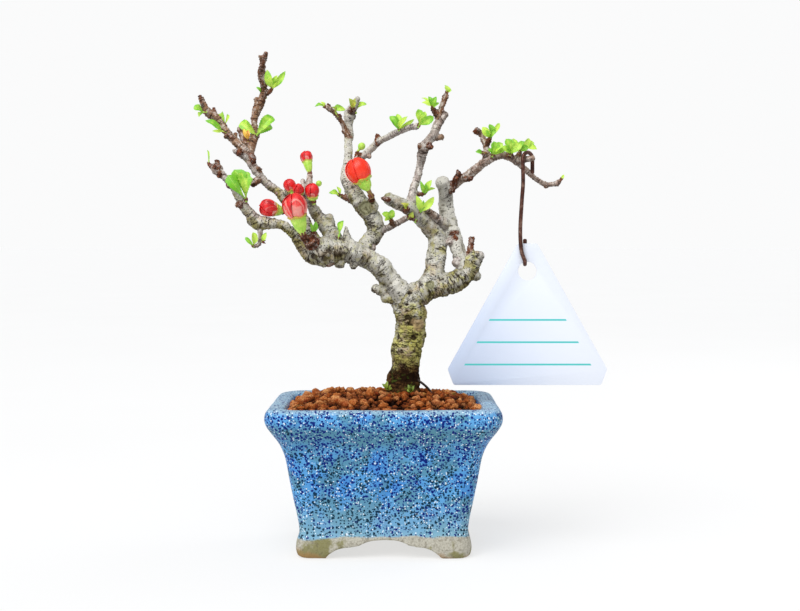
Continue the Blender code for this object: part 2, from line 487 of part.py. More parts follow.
def apply_boolean(target, operation, cutter=None, group=None):
    """Joins or cuts at once, so that nothing stays live on the object."""
    modifier = target.modifiers.new("boolean", "BOOLEAN")
    modifier.operation = operation
    modifier.solver = "MANIFOLD"
    if group:
        modifier.operand_type = "COLLECTION"
        modifier.collection = group
    else:
        modifier.object = cutter
    graph = bpy.context.evaluated_depsgraph_get()
    result = bpy.data.meshes.new_from_object(target.evaluated_get(graph))
    target.modifiers.remove(modifier)
    old, target.data = target.data, result
    result.name = target.name
    bpy.data.meshes.remove(old)
    keep_largest_body(target)
    result.shade_smooth()
    result.set_sharp_from_angle(angle=math.radians(40))


def keep_largest_body(target):
    """Drops the scraps that a cut leaves loose, and fills what joining sealed."""
    mesh = bmesh.new()
    mesh.from_mesh(target.data)
    bmesh.ops.remove_doubles(mesh, verts=mesh.verts, dist=SLIVER * MM)
    bmesh.ops.triangulate(mesh, faces=mesh.faces)
    waiting = set(mesh.faces)
    bodies = []
    while waiting:
        body, border = set(), [next(iter(waiting))]
        while border:
            face = border.pop()
            if face in body:
                continue
            body.add(face)
            plain = [edge for edge in face.edges if len(edge.link_faces) == 2]
            border.extend(other for edge in plain for other in edge.link_faces)
        bodies.append(body)
        waiting -= body
    largest = max(bodies, key=len)
    loose = [face for body in bodies if body is not largest for face in body]
    bmesh.ops.delete(mesh, geom=loose, context="FACES")
    mesh.to_mesh(target.data)
    mesh.free()


def tree_pieces(swell=0.0):
    """Each limb, spur and root as a closed object, grown all round by swell."""
    pieces = []
    for name, points in LIMBS.items():
        mesh = bmesh.new()
        route = smooth_route(limb_points(points), LIMB_SPACING)
        tube(mesh, route, sides_for(points), swell * MM, BARK_ROUGH)
        pieces.append(add_object(name, mesh))
    for points in SPURS:
        mesh = bmesh.new()
        route = smooth_route(limb_points(points), SPUR_SPACING)
        tube(mesh, route, SPUR_SIDES, swell * MM, BARK_ROUGH, domed=False)
        pieces.append(add_object("spur", mesh))
    for turn, length in ROOTS:
        mesh = bmesh.new()
        pieces.append(add_object(f"root_{turn}", root(mesh, math.radians(turn), length, swell)))
    return pieces


def root(mesh, turn, length, swell):
    """A root that leaves the trunk's foot level with the soil's upper half and turns down."""
    out = Vector((math.cos(turn), math.sin(turn) * ROOT_FLATTEN, 0))
    foot = Vector((LIMBS["trunk"][0][0], 0, 0))
    points = [
        (*((foot + out * length * share + Vector((0, 0, height))) * MM), radius * MM)
        for share, height, radius in ROOT_SHAPE
    ]
    tube(mesh, smooth_route(points, SPUR_SPACING), ROOT_SIDES, swell * MM)
    return mesh


def rounded_ring(half_width, half_depth, corner, height):
    """A rectangle with round corners, as points counterclockwise from above."""
    points = []
    for quarter in range(4):
        sign_x = 1 if quarter in (0, 3) else -1
        sign_y = 1 if quarter in (0, 1) else -1
        centre = Vector((sign_x * (half_width - corner), sign_y * (half_depth - corner), height))
        for step in range(CORNER_STEPS + 1):
            turn = math.pi / 2 * (quarter + step / CORNER_STEPS)
            points.append(centre + Vector((math.cos(turn), math.sin(turn), 0)) * corner)
    return [(point + Vector((POT_X, 0, 0))) * MM for point in points]


def pot_plan(half_width):
    """Half width, half depth and corner radius of the pot's outline where it is this wide."""
    inset = POT_HALF_WIDTH - half_width
    return half_width, POT_HALF_DEPTH - inset, max(POT_CORNER - CORNER_LOSS * inset, LEAST_CORNER)


def pot_ring(height, half_width):
    """The pot's own outline where it is this wide."""
    return rounded_ring(*pot_plan(half_width), height)


def block(name, rings):
    """A closed object through the rings."""
    mesh = bmesh.new()
    skin(mesh, rings)
    return add_object(name, mesh)


def circle(radius):
    """The corners of a round hole, as two coordinates each."""
    turns = [2 * math.pi * k / ROUND_SIDES for k in range(ROUND_SIDES)]
    return [(radius * math.cos(turn), radius * math.sin(turn)) for turn in turns]


def cylinder(name, centre, radius, low, high):
    """An upright round cutter."""
    rings = [[Vector((centre[0] + x, centre[1] + y, height)) * MM for x, y in circle(radius)]
             for height in (low, high)]
    return block(name, rings)


def arch_cutter(name, share, sideways):
    """The gap between two feet, right through the pot."""
    outline = [(x * share, z) for x, z in ARCH]
    outline += [(-x, z) for x, z in reversed(outline[:-1])]
    rings = []
    for along in (-ARCH_REACH, ARCH_REACH):
        if sideways:
            rings.append([Vector((POT_X + along, x, z)) * MM for x, z in outline])
        else:
            rings.append([Vector((POT_X + x, along, z)) * MM for x, z in outline])
    return block(name, rings)


def cut_away(target, cutters):
    """Cuts each cutter from the target and removes it."""
    for cutter in cutters:
        apply_boolean(target, "DIFFERENCE", cutter=cutter)
        bpy.data.objects.remove(cutter)


def build_pot(finish):
    """The glazed pot: a flared wall with a rolled lip, on four feet, with two drain holes."""
    rings = [pot_ring(height, half_width) for height, half_width in POT_OUTSIDE]
    rings += [pot_ring(*CAVITY_TOP), pot_ring(*CAVITY_FLOOR)]
    pot = block("pot", rings)
    recess = [pot_ring(height, FOOT_RECESS_HALF_WIDTH) for height in (-1.0, FOOT_RECESS_TOP)]
    cut_away(pot, [
        block("recess", recess),
        arch_cutter("front_arch", 1.0, False),
        arch_cutter("side_arch", SIDE_ARCH_SHARE, True),
        *(cylinder("drain", (POT_X + side * DRAIN_OUT, 0), DRAIN_RADIUS, *DRAIN_CUT)
          for side in (-1, 1)),
    ])
    pot.data.materials.append(finish)
    return pot


def square(centre, half_side, height):
    """The corners of a level square."""
    return [Vector((centre[0] + x * half_side, centre[1] + y * half_side, height)) * MM
            for x, y in ((1, 1), (-1, 1), (-1, -1), (1, -1))]


def drain_mesh(name, side, finish):
    """A square of plastic mesh over one drain hole, under the soil."""
    centre = (POT_X + side * DRAIN_OUT, 0)
    low = CAVITY_FLOOR[0] + GAP
    half = MESH_SIDE / 2
    plate = block(name, [square(centre, half, height) for height in (low, low + MESH_THICK)])
    pitch = (MESH_SIDE - MESH_BAR) / MESH_CELLS
    holes = bmesh.new()
    for column in range(MESH_CELLS):
        for row in range(MESH_CELLS):
            at = (centre[0] + (column + 0.5) * pitch - half + MESH_BAR / 2,
                  centre[1] + (row + 0.5) * pitch - half + MESH_BAR / 2)
            skin(holes, [square(at, (pitch - MESH_BAR) / 2, height)
                         for height in (low - 1, low + MESH_THICK + 1)])
    cut_away(plate, [add_object("mesh_holes", holes)])
    plate.data.materials.append(finish)
    return plate


def soil_height(x, y, is_granule, draw):
    """The mounded surface of the soil, raised where a granule lies."""
    across, deep = (x - POT_X) / SOIL_MOUND[0], y / SOIL_MOUND[1]
    mound = SOIL_EDGE + SOIL_RISE * max(0.0, 1 - abs(across) ** 3) * max(0.0, 1 - deep**2)
    return mound + (draw.uniform(*GRANULE_RISE) if is_granule else draw.uniform(0, GRANULE_DIP))


def build_soil(finish):
    """The soil that fills the pot, with its surface of granules."""
    columns, rows = SOIL_CELLS
    draw = random.Random(11)
    share = (SOIL_EDGE - CAVITY_FLOOR[0]) / (CAVITY_TOP[0] - CAVITY_FLOOR[0])
    edge_half = CAVITY_FLOOR[1] + share * (CAVITY_TOP[1] - CAVITY_FLOOR[1]) - GAP

    def boundary(turn_x, turn_y, half_width):
        _, half_depth, corner = pot_plan(half_width)
        x, y = turn_x * half_width, turn_y * half_depth
        over_x = abs(x) - (half_width - corner)
        over_y = abs(y) - (half_depth - corner)
        if over_x > 0 and over_y > 0:
            reach = corner / math.hypot(over_x, over_y)
            x = math.copysign(half_width - corner + over_x * reach, x)
            y = math.copysign(half_depth - corner + over_y * reach, y)
        return x, y

    mesh = bmesh.new()
    grid = {}
    for i in range(columns + 1):
        for j in range(rows + 1):
            u, v = 2 * i / columns - 1, 2 * j / rows - 1
            size = max(abs(u), abs(v))
            if size < 1e-9:
                x = y = 0.0
            else:
                x, y = boundary(u / size, v / size, edge_half)
            x, y = POT_X + x * size, y * size
            height = SOIL_EDGE
            if 0 < i < columns and 0 < j < rows:
                height = soil_height(x, y, i % 2 == 1 and j % 2 == 1, draw)
                x += draw.uniform(-GRANULE_SHIFT, GRANULE_SHIFT)
                y += draw.uniform(-GRANULE_SHIFT, GRANULE_SHIFT)
            grid[i, j] = mesh.verts.new(Vector((x, y, height)) * MM)
    for i in range(columns):
        for j in range(rows):
            mesh.faces.new((grid[i, j], grid[i + 1, j], grid[i + 1, j + 1], grid[i, j + 1]))
    rim = [(i, 0) for i in range(columns)] + [(columns, j) for j in range(rows)]
    rim += [(i, rows) for i in range(columns, 0, -1)] + [(0, j) for j in range(rows, 0, -1)]
    floor = []
    for i, j in rim:
        u, v = 2 * i / columns - 1, 2 * j / rows - 1
        x, y = boundary(u, v, CAVITY_FLOOR[1] - GAP)
        floor.append(mesh.verts.new(Vector((POT_X + x, y, CAVITY_FLOOR[0] + GAP)) * MM))
    for k, key in enumerate(rim):
        after = (k + 1) % len(rim)
        mesh.faces.new((floor[k], floor[after], grid[rim[after]], grid[key]))
    mesh.faces.new(floor[::-1])
    return add_object("soil", mesh, finish)


def leaf(mesh, root_point, tip, width, roll, stem=None):
    """One blade from root to tip: folded along its rib, arched, and widest past the middle.

    A stem, as (start, radius), is made in one piece with the blade and ends at its root.
    """
    along = tip - root_point
    length = along.length
    along.normalize()
    face = LEAF_FACES
    face = (face - along * face.dot(along)).normalized()
    face = Matrix.Rotation(roll, 3, along) @ face
    across = along.cross(face)
    rings = []
    if stem:
        start, radius = stem
        lean = (root_point - start).normalized()
        side = (across - lean * across.dot(lean)).normalized() * radius
        front = side.cross(lean)
        rings.append([start - side, start - front, start + side, start + front])
    for share, spread in LEAF_OUTLINE:
        half = max(width / 2 * spread, LEAF_STALK) * MM
        arch = face * (LEAF_ARCH * length * math.sin(math.pi * share))
        rib = root_point + along * (share * length) + arch
        lift = face * half * LEAF_FOLD
        thick = face * LEAF_THICK * MM * (0.5 - 0.2 * share)
        rings.append([rib - across * half + lift, rib - thick, rib + across * half + lift, rib + thick])
    point = root_point + along * length
    rings.append([point + (corner - rings[-1][1]) * LEAF_TIP for corner in rings[-1]])
    skin(mesh, rings)


def surface_of(target):
    """The object's faces, to measure from."""
    return BVHTree.FromObject(target, bpy.context.evaluated_depsgraph_get())


def reach_back(bark, foot, axis, radius):
    """How far behind the foot a stem of this radius can start and stay clear of the bark."""
    side = axis.orthogonal().normalized()
    other = axis.cross(side)
    corners = [(side * math.cos(turn) + other * math.sin(turn)) * radius
               for turn in (math.pi * k / 4 for k in range(8))]

    def is_clear(back):
        for corner in corners:
            point = foot - axis * back + corner
            nearest, normal, _, _ = bark.find_nearest(point)
            if (point - nearest).dot(normal) < 0:
                return False
        return True

    back, step = 0.0, 0.1 * MM
    while not is_clear(back):
        back -= step
    while is_clear(back + step) and back < MOST_REACH * MM:
        back += step
    return back - step


def fit_to_bark(piece, swollen, bark):
    """Cuts the piece back where it would cross the bark."""
    if surface_of(piece).overlap(bark):
        apply_boolean(piece, "DIFFERENCE", cutter=swollen)


def build_tuft(name, entry, finish, bark):
    """A tuft of leaves fused on one stem, which reaches back to the bark."""
    root_point = seen(*entry[0])
    leaves = [(seen(*tip), width) for tip, width in entry[1:]]
    lean = sum(((tip - root_point).normalized() for tip, _ in leaves), Vector()).normalized()
    widest = max(width for _, width in leaves)
    radius = min(STEM_RADII[0] + STEM_PER_WIDTH * widest, STEM_RADII[1]) * MM
    start = root_point - lean * max(reach_back(bark, root_point, lean, radius), STEM_LEAST * MM)
    return leaves_on_stem(name, start, root_point, radius, leaves, finish)


def leaves_on_stem(name, start, root_point, radius, leaves, finish):
    """A stem that ends in the first leaf, with the others side by side along it."""
    rolls = random.Random(name)
    stem = root_point - start
    pieces = []
    for i, (tip, width) in enumerate(leaves):
        mesh = bmesh.new()
        foot = root_point - stem * (STEM_SPREAD * i / len(leaves))
        roll = rolls.uniform(-LEAF_ROLL, LEAF_ROLL)
        leaf(mesh, foot, tip, width, roll, None if i else (start, radius))
        pieces.append(add_object(name + "_leaf", mesh))
    return union(name, pieces, finish)


def build_weed(name, entry, finish, soil):
    """A weed on an upright stem, and the plain hole in the soil that the stem stands in."""
    up = Vector((0, 0, 1))
    root_point = seen(*entry[0])
    foot = root_point - up * WEED_STEM * MM
    leaves = [(seen(*tip), width) for tip, width in entry[1:]]
    weed = leaves_on_stem(f"weed_{name}", foot, root_point, WEED_RADIUS * MM, leaves, finish)
    hole = bmesh.new()
    ends = [(foot - up * GAP * MM, (WEED_RADIUS + 2 * GAP) * MM),
            (foot + up * 2.5 * WEED_STEM * MM, WEED_HOLE * MM)]
    tube(hole, ends, 8)
    cut_away(soil, [add_object("weed_hole", hole)])
    return weed


def lathe(name, foot, axis, profile, sides, ripple=None):
    """A turned body: profile holds (height along the axis, radius) in metres from the foot."""
    side = axis.orthogonal().normalized()
    other = axis.cross(side)
    rings = []
    for height, radius in profile:
        ring = []
        for k in range(sides):
            turn = 2 * math.pi * k / sides
            scale = 1 + (ripple(turn, height) if ripple else 0)
            out = side * math.cos(turn) + other * math.sin(turn)
            ring.append(foot + axis * height + out * radius * scale)
        rings.append(ring)
    return block(name, rings)


def petal_ball(name, foot, axis, reach, radius, swell=0.0):
    """The closed petals: an egg with petals wound over each other as ridges."""
    steps, sides = BALL_GRID if radius > SMALL_BUD * MM else SMALL_BALL_GRID
    profile = []
    for i in range(steps + 1):
        turn = math.pi * (BALL_ENDS[0] + (BALL_ENDS[1] - BALL_ENDS[0]) * i / steps)
        height = reach - (radius + swell) * EGG * math.cos(turn)
        taper = 1 + BALL_TAPER * math.cos(turn)
        profile.append((height, (radius + swell) * math.sin(turn) / taper))

    def ripple(turn, height):
        wound = (turn * PETALS / (2 * math.pi) + (height - reach) / (4 * radius)) % 1.0
        return PETAL_RIDGE * wound - PETAL_SINK

    return lathe(name, foot, axis, profile, sides, ripple)


def build_bud(name, foot, centre, radius, calyx_radius, finishes, bark):
    """A flower bud: the petals' ball, and the calyx cup that holds it on its stalk."""
    foot, centre = seen(*foot), seen(*centre)
    axis = centre - foot
    reach = axis.length
    axis.normalize()
    radius, calyx_radius = radius * MM, calyx_radius * MM
    petals = petal_ball(f"bud_{name}_petals", foot, axis, reach, radius)
    petals.data.materials.append(finishes[0])
    base = reach - radius * EGG
    thin, thick = (share * calyx_radius for share in CALYX_STALK)
    back = reach_back(bark, foot, axis, thin)
    profile = [(-back, thin), (0.6 * base, thick), (base + CALYX_RISES[0] * radius, calyx_radius),
               (base + CALYX_RISES[1] * radius, radius * CALYX_RIM)]
    profile = [(height, max(size, THINNEST * MM)) for height, size in profile]
    calyx = lathe(f"bud_{name}_calyx", foot, axis, profile, 10 if radius > SMALL_BUD * MM else 8,
                  lambda turn, height: CALYX_LOBE * math.cos(PETALS * turn) * (height > base))
    cutter = petal_ball("petal_cutter", foot, axis, reach, radius, GAP * MM)
    cut_away(calyx, [cutter])
    calyx.data.materials.append(finishes[1])
    return petals, calyx


def build_green_bud(name, foot, centre, radius, finish, bark):
    """A bud that is still a green ball on a short stalk."""
    foot, centre = seen(*foot), seen(*centre)
    axis = centre - foot
    reach = axis.length
    axis.normalize()
    radius = radius * MM
    stalk = THINNEST * MM
    profile = [(-reach_back(bark, foot, axis, stalk), stalk), (max(reach - 1.1 * radius, 0.2 * MM), stalk)]
    for share in GREEN_STEPS:
        turn = math.pi * share
        profile.append((reach - radius * math.cos(turn), radius * math.sin(turn)))
    bud = lathe(f"bud_{name}_green", foot, axis, profile, 8)
    bud.data.materials.append(finish)
    return bud


def build_hook(finish):
    """The bent wire: a loop over its stub, a long shank down, and a bend through the tag's hole."""
    left, right = (seen(*point) for point in HOOK_LOOP)
    middle, half = (left + right) / 2, (right - left) / 2
    route = [right - Vector((0, 0, drop * MM)) for drop in HOOK_END]
    turns = [math.pi * step / HOOK_STEPS for step in range(HOOK_STEPS + 1)]
    for turn in turns:
        route.append(middle + half * math.cos(turn) + Vector((0, 0, HOOK_CROWN * MM * math.sin(turn))))
    hang = seen(TAG_ACROSS - 1.5, 0, TAG_DEPTH).x / MM
    top = TAG_HOLE_UP + TAG_HOLE_RADIUS - GAP - WIRE_RADIUS
    route += [Vector((hang + aside, TAG_DEPTH - HOOK_STANDOFF - ahead, height)) * MM
              for height, aside, ahead in HOOK_SHANK]
    for turn in turns:
        route.append(Vector((hang + 0.5 * turn / math.pi, TAG_DEPTH - HOOK_STANDOFF * math.cos(turn),
                             top + HOOK_STANDOFF * (1 - math.sin(turn)))) * MM)
    route.append(Vector((hang + 0.8, TAG_DEPTH + HOOK_STANDOFF, HOOK_SHANK[-1][0])) * MM)
    mesh = bmesh.new()
    tube(mesh, [(point, WIRE_RADIUS * MM) for point in route], WIRE_SIDES)
    return add_object("tag_hook", mesh, finish)


def build_tag(finish):
    """The plain plastic tag: a triangle with its corners cut off, and a round hole."""
    centre = seen(TAG_ACROSS, 0, TAG_DEPTH).x / MM
    outline = [(centre + out, up) for out, up in TAG_OUTLINE]
    outline += [(centre - out, up) for out, up in reversed(TAG_OUTLINE)]
    rings = [[Vector((x, TAG_DEPTH + side * TAG_THICK / 2, z)) * MM for x, z in outline]
             for side in (1, -1)]
    tag = block("tag", rings)
    hole = [[Vector((centre + x, TAG_DEPTH + side, TAG_HOLE_UP + z)) * MM
             for x, z in circle(TAG_HOLE_RADIUS)] for side in (2 * TAG_THICK, -2 * TAG_THICK)]
    cut_away(tag, [block("tag_hole", hole)])
    tag.data.materials.append(finish)
    return tag


def tie_tube(name, swell=0.0):
    """The wire that ties the trunk down, through the soil and out of a drain hole."""
    points = [(*(Vector(point) * MM), TIE_RADIUS * MM) for point in TIE_ROUTE]
    route = smooth_route(points, TIE_SPACING)
    mesh = bmesh.new()
    tube(mesh, route, WIRE_SIDES, swell * MM)
    return add_object(name, mesh)


def clear_scene():
    """Removes whatever the scene holds."""
    for item in list(bpy.data.objects):
        bpy.data.objects.remove(item)


def main():
    """Builds every piece, each fitted to its neighbours with a small gap."""
    clear_scene()
    glaze = material("blue_glaze", (0.16, 0.42, 0.72), 0.25)
    earth = material("red_granules", (0.36, 0.13, 0.045), 0.95)
    bark = material("bark", (0.34, 0.32, 0.27), 0.85)
    leaf_green = material("young_leaf", (0.28, 0.55, 0.06), 0.5)
    bud_yellow = material("leaf_bud", (0.55, 0.55, 0.12), 0.5)
    petal_red = material("petal_red", (0.80, 0.03, 0.02), 0.4)
    sepal_green = material("sepal_green", (0.42, 0.62, 0.09), 0.45)
    copper = material("brown_wire", (0.16, 0.08, 0.06), 0.45, 0.8)
    plastic = material("white_plastic", (0.85, 0.88, 0.93), 0.3)
    black = material("black_mesh", (0.02, 0.02, 0.02), 0.6)

    build_pot(glaze)
    for word, side in (("left", -1), ("right", 1)):
        drain_mesh(f"drain_mesh_{word}", side, black)
    soil = build_soil(earth)
    union("tree", tree_pieces(), bark)
    swollen = union("swollen_tree", tree_pieces(GAP), None)
    swollen.hide_render = True
    apply_boolean(soil, "DIFFERENCE", cutter=swollen)
    tie = tie_tube("tie_wire")
    tie.data.materials.append(copper)
    apply_boolean(tie, "DIFFERENCE", cutter=swollen)
    pocket_ends = (CAVITY_FLOOR[0] - 1, CAVITY_FLOOR[0] + 2 * GAP + MESH_THICK)
    pockets = [
        block("pocket", [square((POT_X + side * DRAIN_OUT, 0), MESH_SIDE / 2 + GAP, height)
                         for height in pocket_ends])
        for side in (-1, 1)
    ]
    cut_away(soil, [tie_tube("tie_hole", GAP), *pockets])

    bark_surface = surface_of(swollen)
    growths = [build_weed(name, entry, leaf_green, soil) for name, entry in WEEDS.items()]
    for name, entry in TUFTS.items():
        finish = bud_yellow if name in YOUNG else leaf_green
        growths.append(build_tuft(f"leaves_{name}", entry, finish, bark_surface))
    for name, sizes in BUDS.items():
        growths.extend(build_bud(name, *sizes, (petal_red, sepal_green), bark_surface))
    for name, sizes in GREEN_BUDS.items():
        growths.append(build_green_bud(name, *sizes, sepal_green, bark_surface))
    for growth in growths:
        fit_to_bark(growth, swollen, bark_surface)
    build_hook(copper)
    build_tag(plastic)
    bpy.data.objects.remove(swollen)


main()
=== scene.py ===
"""Looks for a flowering quince bonsai in a speckled blue pot, with a plain tag on a wire hook.

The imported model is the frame. Everything here is written in millimetres and made in metres by MM.
A place on the tree is given as (across, up, depth), as it shows from the front on the trunk's
plane, and seen() puts it into the frame. The front faces -Y and the pot stands on Z = 0.
"""

import logging
import random
import sys
from collections.abc import Sequence
from dataclasses import dataclass
from enum import Enum
from math import acos, atan2, cos, exp, pi, radians, sin

import bmesh
import bpy
import numpy as np
from bpy.types import Material, Mesh, NodeSocket, NodeTree, Object, World, bpy_prop_collection
from mathutils import Matrix, Vector, noise
from mathutils.bvhtree import BVHTree


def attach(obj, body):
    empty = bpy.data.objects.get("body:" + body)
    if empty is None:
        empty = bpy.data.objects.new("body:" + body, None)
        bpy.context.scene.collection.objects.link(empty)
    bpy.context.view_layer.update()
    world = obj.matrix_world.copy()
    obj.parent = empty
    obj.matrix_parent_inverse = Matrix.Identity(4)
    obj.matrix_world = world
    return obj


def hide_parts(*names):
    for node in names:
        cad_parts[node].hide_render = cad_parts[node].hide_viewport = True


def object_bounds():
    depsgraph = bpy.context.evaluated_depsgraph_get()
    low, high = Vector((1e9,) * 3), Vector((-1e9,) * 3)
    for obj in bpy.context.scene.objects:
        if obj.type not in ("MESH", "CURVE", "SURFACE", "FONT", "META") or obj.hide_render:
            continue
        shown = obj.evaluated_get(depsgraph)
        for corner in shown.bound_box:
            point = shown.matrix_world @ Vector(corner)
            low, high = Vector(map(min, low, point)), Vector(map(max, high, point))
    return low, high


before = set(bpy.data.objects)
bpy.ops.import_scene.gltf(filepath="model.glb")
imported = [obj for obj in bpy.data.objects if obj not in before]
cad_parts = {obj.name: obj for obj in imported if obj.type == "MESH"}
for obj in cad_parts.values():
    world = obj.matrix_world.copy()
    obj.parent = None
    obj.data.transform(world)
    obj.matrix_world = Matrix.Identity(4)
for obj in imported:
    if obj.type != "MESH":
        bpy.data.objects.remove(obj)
CAD_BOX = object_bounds()

LOG = logging.getLogger("bonsai")
MM = 0.001
BODY = "root"
WAY = "way"  # name of the vector that each grown point carries for its material
AXIS_X, AXIS_Y, AXIS_Z = Vector((1, 0, 0)), Vector((0, 1, 0)), Vector((0, 0, 1))
NEXT_TURN = 2.4  # radians round a twig from one bud or scale to the next

Colour = tuple[float, float, float]
Place = tuple[float, float, float]

# The eye that the tree is laid out for: how far before the trunk, and how far above the table.
EYE_BEFORE = 620.0
EYE_ABOVE = 149.0
# Where the crown swings back or forward: (across, up, reach, swing).
SWINGS = (
    (-72, 226, 36, 20), (-88, 184, 22, -15), (-48, 164, 16, -4), (-24, 208, 24, 13), (13, 210, 20, -8),
    (28, 168, 20, 13), (-2, 176, 14, -7), (38, 134, 16, 6),
)

